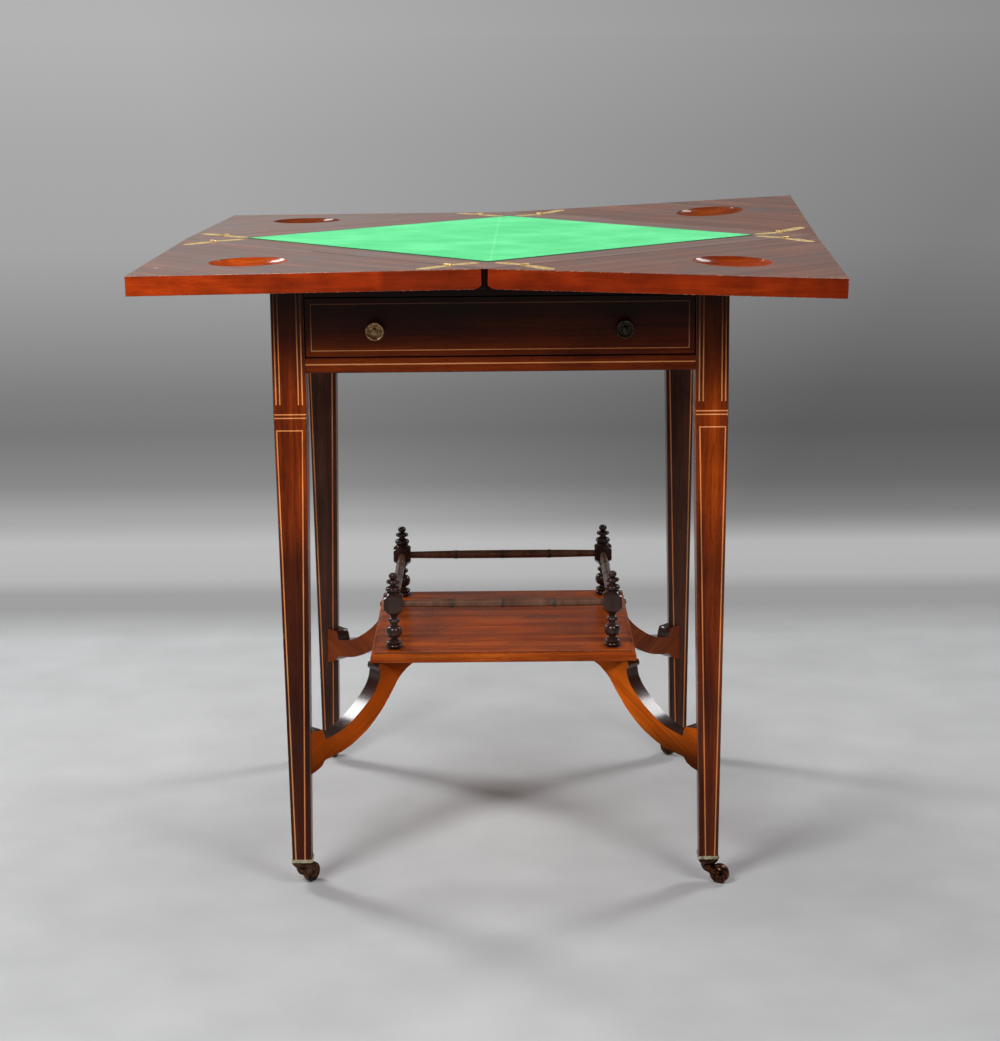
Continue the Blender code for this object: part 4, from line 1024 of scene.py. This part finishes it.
def turned(profile, steps):
    """A profile of (radius, height), from the top down, spun about Z as on a lathe."""
    bm = bmesh.new()
    points = [bm.verts.new((r, 0, z)) for r, z in profile]
    edges = [bm.edges.new(pair) for pair in zip(points, points[1:])]
    bmesh.ops.spin(
        bm, geom=points + edges, cent=(0, 0, 0), axis=(0, 0, 1), angle=math.tau, steps=steps, use_merge=True
    )
    bmesh.ops.remove_doubles(bm, verts=bm.verts, dist=MERGE)
    bmesh.ops.recalc_face_normals(bm, faces=bm.faces)
    return bm


print("the lathe is ready")

# %% Knobs
KNOB_X, KNOB_Z = 0.1410, 0.6686
KNOB_PROFILE_MM = [
    (0.0, 16.8), (2.0, 16.6), (3.2, 15.9), (3.6, 15.3), (4.4, 15.1), (7.2, 15.1), (7.8, 15.6), (8.6, 16.3),
    (9.6, 16.5), (10.4, 16.1), (10.9, 15.2), (10.8, 14.2), (10.2, 13.0), (8.8, 11.2), (6.8, 8.6), (5.2, 6.2),
    (4.6, 4.4), (5.0, 2.8), (6.4, 1.5), (7.0, 0.7), (7.0, 0.0), (0.0, 0.0),
]
KNOB_STEPS = 40
KNOB_BEADS = 18
BEAD_CIRCLE = 5.8 * MM
BEAD_RISE = 15.2 * MM
BEAD_RADIUS = 0.75 * MM
KNOB_GAP = 0.0002
for side, x in (("left", -KNOB_X), ("right", KNOB_X)):
    shapes = [turned(in_metres(KNOB_PROFILE_MM), KNOB_STEPS)]
    for i in range(KNOB_BEADS):
        angle = math.tau * i / KNOB_BEADS
        spot = (BEAD_CIRCLE * math.cos(angle), BEAD_CIRCLE * math.sin(angle), BEAD_RISE)
        bead = bmesh.new()
        bmesh.ops.create_icosphere(bead, subdivisions=1, radius=BEAD_RADIUS, matrix=Matrix.Translation(spot))
        shapes.append(bead)
    knob = merged(shapes)
    on_drawer = Matrix.Translation((x, -HALF_FRAME - KNOB_GAP, KNOB_Z))
    knob.transform(on_drawer @ spin(90, "X"))
    finish(f"turned_knob_{side}", knob, [KNOB_BRASS[side]], DRAWER, [f"drawer_knob_{side}"])
print("two knobs")

# %% [markdown]
# ## Shelf
# The shelf is a flat board whose edge has a small quirk and a quarter-round below it. An inset and an
# extrusion raise the field by the quirk, and a bevel with several segments turns the arris into the
# moulding.

# %% Shelf
SHELF_HALF = 0.1610
SHELF_BOTTOM = 0.2505
SHELF_QUIRK = 0.0012
SHELF_QUIRK_INSET = 0.0058
SHELF_OVOLO = 0.0045
THIN_ROUNDING = 0.0004
LEVEL = 0.9


def box(low, high):
    """A block between two corners."""
    bm = bmesh.new()
    middle = [(a + b) / 2 for a, b in zip(low, high)]
    size = [b - a for a, b in zip(low, high)]
    bmesh.ops.create_cube(bm, size=1, matrix=Matrix.Translation(middle) @ Matrix.Diagonal((*size, 1)))
    return bm


def new_verts(made):
    """The vertices among what an extrusion made."""
    return [item for item in made["geom"] if isinstance(item, bmesh.types.BMVert)]


shelf = box((-SHELF_HALF, -SHELF_HALF, SHELF_BOTTOM), (SHELF_HALF, SHELF_HALF, SHELF_TOP - SHELF_QUIRK))
shelf.normal_update()
field = [face for face in shelf.faces if face.normal.z > LEVEL]
rim = list(field[0].edges)
bmesh.ops.inset_region(shelf, faces=field, thickness=SHELF_QUIRK_INSET, use_even_offset=True)
risen = new_verts(bmesh.ops.extrude_face_region(shelf, geom=field))
bmesh.ops.delete(shelf, geom=field, context="FACES_ONLY")
bmesh.ops.translate(shelf, verts=risen, vec=(0, 0, SHELF_QUIRK))
rounded(shelf, rim, SHELF_OVOLO, 8)
soften(shelf, THIN_ROUNDING, LONG_EDGE, arris=1, sharp=60)
finish("moulded_shelf", shelf, [SHELF_WOOD, LEG_ARRIS], FRAME, ["shelf"])
print("shelf")

# %% [markdown]
# ## Brackets
# Four C-scrolls are sawn from board and stand on the diagonals, from under the shelf to the legs. Their
# outline is drawn in shares of the bracket's reach and drop, filled, and given the board's thickness. The
# leg itself cuts the notch that fits round its corner.

# %% Bracket outline
BRACKET_THICKNESS = 0.0200
BRACKET_INNER = 0.1647
BRACKET_REACH = 0.1588
BRACKET_TOP = 0.2502
BRACKET_DROPS = {-1: 0.1130, 1: 0.1055}
STEPS_PER_STRETCH = 5


def between_middle_two(a, b, c, d, t):
    """The Catmull-Rom formula: a number that goes smoothly from b to c as t goes from zero to one."""
    return (2 * b + (c - a) * t + (2 * a - 5 * b + 4 * c - d) * t * t + (3 * b - a - 3 * c + d) * t**3) / 2


def flowing(*points):
    """A smooth line through a few points, both ends included."""
    line = []
    padded = [points[0], *points, points[-1]]
    for four in zip(padded, padded[1:], padded[2:], padded[3:]):
        for i in range(STEPS_PER_STRETCH):
            t = i / STEPS_PER_STRETCH
            line.append(tuple(between_middle_two(*numbers, t) for numbers in zip(*four)))
    return [*line, points[-1]]


BRACKET_SHARES = [
    (1.000, 0.028), (0.955, 0.060), (0.925, 0.115), (0.868, 0.128),
    *flowing(
        (0.832, 0.135), (0.734, 0.164), (0.634, 0.214), (0.489, 0.322), (0.362, 0.466), (0.287, 0.579),
        (0.224, 0.685), (0.163, 0.790), (0.084, 0.872), (0.000, 0.925),
    ),
    (0.000, 1.000), (0.362, 1.000), (0.372, 0.962), (0.366, 0.935),
    *flowing(
        (0.350, 0.922), (0.359, 0.850), (0.386, 0.770), (0.435, 0.686), (0.506, 0.598), (0.592, 0.511),
        (0.680, 0.437), (0.776, 0.381), (0.915, 0.340),
    ),
    (0.925, 0.395), (0.940, 0.450), (1.063, 0.460), (1.063, 0.000),
]
print("points in the outline:", len(BRACKET_SHARES))


# %% Brackets
def carve(bm, cutter, operation="DIFFERENCE"):
    """One bmesh cut with another."""
    objects = [put("carving", as_mesh("carving", shape)) for shape in (bm, cutter)]
    modifier = objects[0].modifiers.new("carve", "BOOLEAN")
    modifier.operation = operation
    modifier.object = objects[1]
    modifier.solver = "EXACT"
    bpy.context.view_layer.update()
    graph = bpy.context.evaluated_depsgraph_get()
    carved = bmesh.new()
    carved.from_mesh(objects[0].evaluated_get(graph).to_mesh())
    for obj in objects:
        bpy.data.objects.remove(obj, do_unlink=True)
    return carved


def bracket(corner):
    """A bracket with its faces on the first material and its rim on the third."""
    across, along = CORNERS[corner]
    drop = BRACKET_DROPS[along]
    bm = bmesh.new()
    points = [(BRACKET_INNER + u * BRACKET_REACH, BRACKET_TOP - (1 - v) * drop) for u, v in BRACKET_SHARES]
    outline = bm.faces.new([bm.verts.new((x, -BRACKET_THICKNESS / 2, z)) for x, z in points])
    far_side = new_verts(bmesh.ops.extrude_face_region(bm, geom=[outline]))
    bmesh.ops.translate(bm, verts=far_side, vec=(0, BRACKET_THICKNESS, 0))
    bmesh.ops.recalc_face_normals(bm, faces=bm.faces)
    for face in bm.faces:
        face.material_index = 0 if abs(face.normal.y) > 0.5 else 2
    bm.transform(Matrix.Rotation(math.atan2(along, across), 4, "Z"))
    return carve(bm, from_cad(f"leg_{corner}"))


for corner, (across, along) in CORNERS.items():
    scroll = soften(bracket(corner), THIN_ROUNDING, shortest=0.001, arris=1, segments=1, sharp=60)
    woods = [(REAR_BRACKET if along > 0 else FRONT_BRACKET)[across], LEG_ARRIS, BRACKET_RIM]
    finish(f"scroll_bracket_{corner}", scroll, woods, FRAME, [f"bracket_{corner}"])
print("four brackets")

# %% [markdown]
# ## Gallery
# Each corner post is turned from a square blank: beads, a ball and a finial, with the square left in the
# middle to take the rails. A lathe profile is spun, and what lies inside the blank is kept, so the square's
# shoulders come out curved as on a real turning. The four rails swell a little towards their middles and
# have three rubbed beads each.

# %% Gallery posts
POST_HEIGHT = 0.0940
POST_STEPS = 44
BLOCK = 0.0225
OVERRUN = 0.01


def swell(top, bottom, neck, full, count=7):
    """A bead between two heights: half an ellipse from one neck to the other."""
    half = (top - bottom) / 2
    arc = [radians(90 - 180 * i / (count - 1)) for i in range(count)]
    return [(neck + (full - neck) * math.cos(a), (top + bottom) / 2 + half * math.sin(a)) for a in arc]


POST_SHARES = [
    (0.0, 1.0), *swell(1.0, 0.920, 0.100, 0.235, 9)[1:],
    (0.150, 0.915), (0.220, 0.910), *swell(0.907, 0.864, 0.300, 0.372),
    (0.230, 0.857), (0.175, 0.848), (0.180, 0.836), (0.230, 0.826), *swell(0.818, 0.752, 0.300, 0.420, 9),
    (0.350, 0.746), (0.340, 0.737), (0.390, 0.727), (0.470, 0.714), (0.560, 0.702), (0.640, 0.689),
    (0.720, 0.672), (0.720, 0.532), (0.640, 0.516), (0.540, 0.498), (0.430, 0.478), (0.320, 0.455),
    (0.230, 0.432), (0.190, 0.418), (0.180, 0.406), *swell(0.396, 0.338, 0.220, 0.325),
    (0.185, 0.328), (0.175, 0.314), *swell(0.302, 0.142, 0.190, 0.445, 13),
    (0.182, 0.130), (0.200, 0.118), (0.290, 0.110), *swell(0.106, 0.062, 0.330, 0.420),
    *swell(0.058, 0.018, 0.380, 0.452), (0.330, 0.012), (0.330, 0.0), (0.0, 0.0),
]
half_block = BLOCK / 2
for corner, (x, y) in CORNERS.items():
    post = turned([(r * BLOCK, h * POST_HEIGHT) for r, h in POST_SHARES], POST_STEPS)
    blank = box((-half_block, -half_block, -OVERRUN), (half_block, half_block, POST_HEIGHT + OVERRUN))
    post = carve(post, blank, "INTERSECT")
    post.transform(Matrix.Translation((x * POST_SPOT, y * POST_SPOT, SHELF_TOP)))
    bmesh.ops.remove_doubles(post, verts=post.verts, dist=MERGE)
    node = f"gallery_post_{corner}"
    finish(f"turned_post_{corner}", post, [EBONISED], FRAME, [node], smooth=28)
print("four turned posts with", len(POST_SHARES), "points in the profile")

# %% Gallery rails
RAIL_SHARE = 0.592
RAIL_Z = SHELF_TOP + POST_HEIGHT * RAIL_SHARE
RAIL_TENON = 0.0015
RAIL_HALF = POST_SPOT - half_block + RAIL_TENON
RAIL_MM = [(0.0, 4.4), (0.10, 4.6), (0.35, 5.1), (0.60, 5.4), (0.85, 5.5)]
RAIL_BEAD_MM = [(4.8, 2.6), (5.35, 2.5), (5.8, 1.6), (5.85, 0.8), (5.5, 0.3)]
RAIL_STEPS = 24


def mirrored(half):
    """The upper half of a profile, followed by its mirror image below."""
    return half + [(r, -z) for r, z in reversed(half)]


rail_profile = mirrored([(0, RAIL_HALF)] + [(r * MM, (1 - share) * RAIL_HALF) for share, r in RAIL_MM])
bead_profile = mirrored(in_metres(RAIL_BEAD_MM))
rods, beads = [], []
for turn in (0, 90, 180, 270):
    lay = spin(turn) @ Matrix.Translation((0, -POST_SPOT, RAIL_Z)) @ spin(90, "Y")
    rod = turned(rail_profile, RAIL_STEPS)
    rod.transform(lay)
    rods.append(rod)
    for share in (-0.5, 0.0, 0.5):
        bead = turned(bead_profile, RAIL_STEPS)
        bead.transform(lay @ Matrix.Translation((0, 0, share * RAIL_HALF)))
        beads.append(bead)
finish("gallery_rods", merged(rods), [EBONISED_ROD], FRAME, ["gallery_rails"])
finish("gallery_rod_beads", merged(beads), [RUBBED_BEAD], FRAME)
print("four gallery rails with three beads each")

# %% [markdown]
# ## Castors
# Each leg stands in a square brass cup with a flared lip. A horn swivels under the cup and carries a small
# solid wheel, which trails to one side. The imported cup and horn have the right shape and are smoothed, and
# the wheel is spun again with a rounded tread.

# %% Castors
CUP_RIM = 0.0313
CUP_ROUNDING = 0.0003
WHEEL_STEPS = 40
WHEEL_MM = [
    (1.9, 4.5), (6.3, 4.5), (7.0, 4.0), (9.2, 4.0), (10.3, 4.4), (11.1, 4.0), (11.62, 2.9), (11.8, 1.4),
]


def joint_of(body):
    """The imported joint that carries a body."""
    return next(joint for joint in frame["joints"] if joint["child"] == body)


wheel_loop = mirrored(in_metres(WHEEL_MM))
for corner in CORNERS:
    node = f"castor_cup_{corner}"
    cup = soften(from_cad(node), CUP_ROUNDING, shortest=0.004, sharp=25)
    # The lip above the rim takes the paler brass of the painted highlight.
    for face in cup.faces:
        face.material_index = 1 if face.calc_center_median().z > CUP_RIM else 0
    finish(f"brass_cup_{corner}", cup, [CASTOR_BRASS, CUP_LIP_HIGHLIGHT_BRASS], FRAME, [node])
    node = f"castor_horn_{corner}"
    finish(f"brass_horn_{corner}", from_cad(node), [CASTOR_BRASS], f"{corner}_horn", [node])
    node, body = f"castor_wheel_{corner}", f"{corner}_wheel"
    low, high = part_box(node)
    axle = Vector(joint_of(body)["axis"]).to_track_quat("Z", "Y")
    wheel = turned(wheel_loop + wheel_loop[:1], WHEEL_STEPS)
    wheel.transform(Matrix.Translation((low + high) / 2) @ axle.to_matrix().to_4x4())
    finish(f"brass_wheel_{corner}", wheel, [CASTOR_BRASS], body, [node])
print("four castors")

# %% [markdown]
# ## Leaves
# Each leaf is a right-angled triangle of board with a turned well for counters, and hinge straps let in
# flush. The imported leaf has the right outline and moulding, so a merged copy has its long edges eased and
# its faces sorted by the way they look: the playing face above, the show face below, bright lipping round
# the two outer sides, a near-black edge along the hinge that is painted shade in the gap, and bright wood in
# the well.

# %% Hinge places and wells
WELL_DISTANCE = 0.1090
WELL_RADIUS_MM = 45.0
WELL_FLOOR_MM = 29.0
WELL_DEPTH_MM = 8.0
WELL_LIP_MM = 0.4
WELL_SKIM_MM = 0.08
WALL_STEPS = 14
WELL_STEPS = 112
MOUTH_MM = 4
AXIS_RISE = 0.0006
LEAF_DROOPS = {"front_left": 1.24, "front_right": 2.60, "back_right": -4.26, "back_left": 0.48}


def hinge_place(corner, turn=0.0, droop=0.0):
    """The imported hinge's own axes: its line is Y, and what it carries is on the +X side."""
    hinge = joint_of(f"{corner}_leaf")
    line = Vector(hinge["axis"])
    outward = math.degrees(math.atan2(line.x, -line.y))
    return Matrix.Translation(hinge["pos_m"]) @ spin(outward + turn) @ spin(droop, "Y")


def well_cutter(corner):
    """The well as the lathe leaves it: a shallow dish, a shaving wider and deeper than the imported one."""
    run, fall = WELL_RADIUS_MM - WELL_FLOOR_MM, WELL_DEPTH_MM - WELL_LIP_MM
    slope = 2 * math.atan2(fall, run)
    bend = run / math.sin(slope) + WELL_SKIM_MM
    bottom = -WELL_DEPTH_MM - WELL_SKIM_MM
    wall = []
    for i in range(WALL_STEPS + 1):
        angle = slope * (1 - i / WALL_STEPS)
        wall.append((WELL_FLOOR_MM + bend * math.sin(angle), bottom + bend * (1 - math.cos(angle))))
    profile = [(0, MOUTH_MM), (wall[0][0], MOUTH_MM), *wall, (0, bottom)]
    cutter = turned(in_metres(profile), WELL_STEPS)
    in_the_leaf = Matrix.Translation((WELL_DISTANCE, 0, -AXIS_RISE))
    cutter.transform(hinge_place(corner, droop=LEAF_DROOPS[corner]) @ in_the_leaf)
    return cutter


print("a well is", WELL_RADIUS_MM * 2, "mm across and", WELL_DEPTH_MM, "mm deep")

# %% Leaves
WELL_SURROUND = 0.001
OUTWARD = 0.3
LEAF_ROUNDING = 0.0006
PLAYING, LIPPING_FRONT, LIPPING_SIDE, ARRIS, SHOW, WELL, HINGE_EDGE = range(7)


def leaf_material(face, middle):
    """The place in the leaf's list of materials that a face gets, by the way it looks."""
    reach = max((vert.co - middle).xy.length for vert in face.verts)
    if reach < WELL_RADIUS_MM * MM + WELL_SURROUND:
        return WELL
    if abs(face.normal.z) > LEVEL:
        return PLAYING if face.normal.z > 0 else SHOW
    if face.normal.xy.dot(middle.xy.normalized()) < OUTWARD:
        return HINGE_EDGE
    return LIPPING_FRONT if abs(face.normal.y) > abs(face.normal.x) else LIPPING_SIDE


for corner, (x, y) in CORNERS.items():
    leaf = carve(from_cad(f"leaf_{corner}"), well_cutter(corner))
    bmesh.ops.dissolve_limit(leaf, angle_limit=radians(FLAT_ANGLE), verts=leaf.verts, edges=leaf.edges)
    middle = hinge_place(corner) @ Vector((WELL_DISTANCE, 0, 0))
    leaf.normal_update()
    for face in leaf.faces:
        face.material_index = leaf_material(face, middle)
    soften(leaf, LEAF_ROUNDING, shortest=0.02, arris=ARRIS)
    face_wood = FACE_FALLING if x == y else FACE_RISING
    woods = [face_wood, LIPPING_X[x], LIPPING_Y, LEAF_ARRIS, SHOW_FACE, WELL_WOOD[corner], GAP_SHADE_EDGE]
    finish(f"eased_leaf_{corner}", leaf, woods, f"{corner}_leaf", [f"leaf_{corner}"])
print("four leaves")

# %% [markdown]
# ## Centre board
# The board is a square with a mahogany border round the baize. The border's grain runs along each side and
# meets in mitres, so the upper face is cut along the two diagonals and each quarter gets the wood that runs
# its way.

# %% Centre board
TOP = "top"


def everything(bm):
    """All that a bmesh is made of."""
    return [*bm.verts, *bm.edges, *bm.faces]


board = from_cad("centre_board")
for angle in (0, 90):
    across = spin(angle + TOP_TURN) @ Vector((1, 0, 0))
    bmesh.ops.bisect_plane(board, geom=everything(board), plane_co=(0, 0, 0), plane_no=across)
board.normal_update()
for face in board.faces:
    spot = spin(-TOP_TURN) @ face.calc_center_median()
    if face.normal.z > LEVEL:
        face.material_index = 0 if spot.x * spot.y < 0 else 1
    else:
        # The board's sides lie in the gaps under the leaves and take the near-black edge wood, which is
        # painted shade.
        face.material_index = 2
soften(board, LEAF_ROUNDING, shortest=0.03, arris=3)
board_woods = [FACE_RISING, FACE_FALLING, GAP_SHADE_EDGE, LEAF_ARRIS]
finish("bordered_board", board, board_woods, TOP, ["centre_board"])
print("centre board")

# %% [markdown]
# ## Hinge straps and their screws
# Eight brass hinges are let in flush, two along each side of the board. Each has a strap on the leaf and
# one on the board, with countersunk screws whose slots point every way. A screw head is a low disc with its
# slot pressed in.

# %% Straps
SCREW_RADIUS = 0.0025
SCREW_PROUD = 0.00012
SCREW_DEPTH = 0.0006
SLOT_HALF_WIDTH = 0.0003
SLOT_HALF_LENGTH = 0.0019
SCREW_PLACES = (0.0125, 0.0245, 0.0375)
HINGE_FROM_MIDDLE = 0.2160
STRAP_SINK = 0.0001
STRAP_ROUNDING = 0.00025
SLOT_DEPTH = SCREW_DEPTH * 0.7
SLOT_TURN = 1.17


def screw_head(turn):
    """A screw head whose face is at z = 0."""
    bm = bmesh.new()
    bmesh.ops.create_cone(
        bm,
        cap_ends=True,
        segments=18,
        radius1=SCREW_RADIUS,
        radius2=SCREW_RADIUS,
        depth=SCREW_DEPTH,
        matrix=Matrix.Translation((0, 0, -SCREW_DEPTH / 2)),
    )
    for normal, away in (((0, 1, 0), SLOT_HALF_WIDTH), ((1, 0, 0), SLOT_HALF_LENGTH)):
        for side in (-1, 1):
            cut = Vector(normal) * away * side
            bmesh.ops.bisect_plane(bm, geom=everything(bm), plane_co=cut, plane_no=normal)
    bm.normal_update()
    slot = [
        face
        for face in bm.faces
        if face.normal.z > LEVEL
        and abs(face.calc_center_median().y) < SLOT_HALF_WIDTH
        and abs(face.calc_center_median().x) < SLOT_HALF_LENGTH
    ]
    slot_floor = new_verts(bmesh.ops.extrude_face_region(bm, geom=slot))
    bmesh.ops.delete(bm, geom=slot, context="FACES_ONLY")
    bmesh.ops.translate(bm, verts=slot_floor, vec=(0, 0, -SLOT_DEPTH))
    bm.transform(Matrix.Rotation(turn, 4, "Z"))
    return bm


count = 0
for corner, leaf_droop in LEAF_DROOPS.items():
    for kind, turn, droop, body in (("leaf", 0, leaf_droop, f"{corner}_leaf"), ("board", 180, 0, TOP)):
        heads = []
        place = hinge_place(corner, turn, droop)
        for letter, along in (("a", -HINGE_FROM_MIDDLE), ("b", HINGE_FROM_MIDDLE)):
            node = f"{kind}_strap_{corner}_{letter}"
            strap = soften(from_cad(node), STRAP_ROUNDING, shortest=0.0015, sharp=50)
            finish(f"brass_{node}", strap, [HINGE_BRASS], body, [node])
            for distance in SCREW_PLACES:
                count += 1
                head = screw_head(count * SLOT_TURN)
                rise = SCREW_PROUD - AXIS_RISE - STRAP_SINK
                head.transform(place @ Matrix.Translation((distance, along, rise)))
                heads.append(head)
        finish(f"screws_{kind}_{corner}", merged(heads), [HINGE_BRASS], body)
print("sixteen straps and", count, "screws")

# %% [markdown]
# ## Baize sheet
# The cloth is cut square and glued into the board, with a trace of slackness. A fine grid is lifted by
# gentle waves of a fifth of a millimetre and given its thickness, and its cut edge stands just above the
# border.

# %% Baize
BAIZE_TOP = 0.7501
BAIZE_THICKNESS = 0.0009
BAIZE_WAVE = 0.00012
FLAT_RIM = 0.02
baize = bmesh.new()
bmesh.ops.create_grid(baize, x_segments=60, y_segments=60, size=BAIZE_HALF)
for vert in baize.verts:
    x, y, _ = vert.co
    inside = min(1, (BAIZE_HALF - max(abs(x), abs(y))) / FLAT_RIM)
    wave = math.sin(x * 61) * math.sin(y * 47 + 1) + math.sin(x * 23 + y * 31)
    vert.co.z = inside * wave * BAIZE_WAVE
bmesh.ops.solidify(baize, geom=list(baize.faces), thickness=BAIZE_THICKNESS)
bmesh.ops.recalc_face_normals(baize, faces=baize.faces)
highest = max(vert.co.z for vert in baize.verts)
lift = Matrix.Translation((0, 0, BAIZE_TOP - highest))
baize.transform(spin(45 + TOP_TURN) @ lift)
cloth = finish("baize_sheet", baize, [BAIZE], TOP, ["baize"])
print("baize", round(BAIZE_HALF * 2 / MM), "mm square")

# %% [markdown]
# ## Hidden pieces
# The panel under the board, the drawer's sides, back and bottom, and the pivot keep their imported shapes.
# They show only when the drawer is out or the table is seen from below.

# %% Hidden pieces
for node in ("sub_top", "drawer_frame", "drawer_bottom", "pivot_bolt"):
    nodes[node].material_slots[0].material = IRON if node == "pivot_bolt" else PINE
print("hidden pieces finished")

# %% [markdown]
# ## The size of the picture model
# The box round every shown piece but the floor is measured, and its size is printed. The picture model
# may not outgrow the imported one.

# %% Size
low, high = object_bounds()
print("picture size", [round(v, 4) for v in high - low])
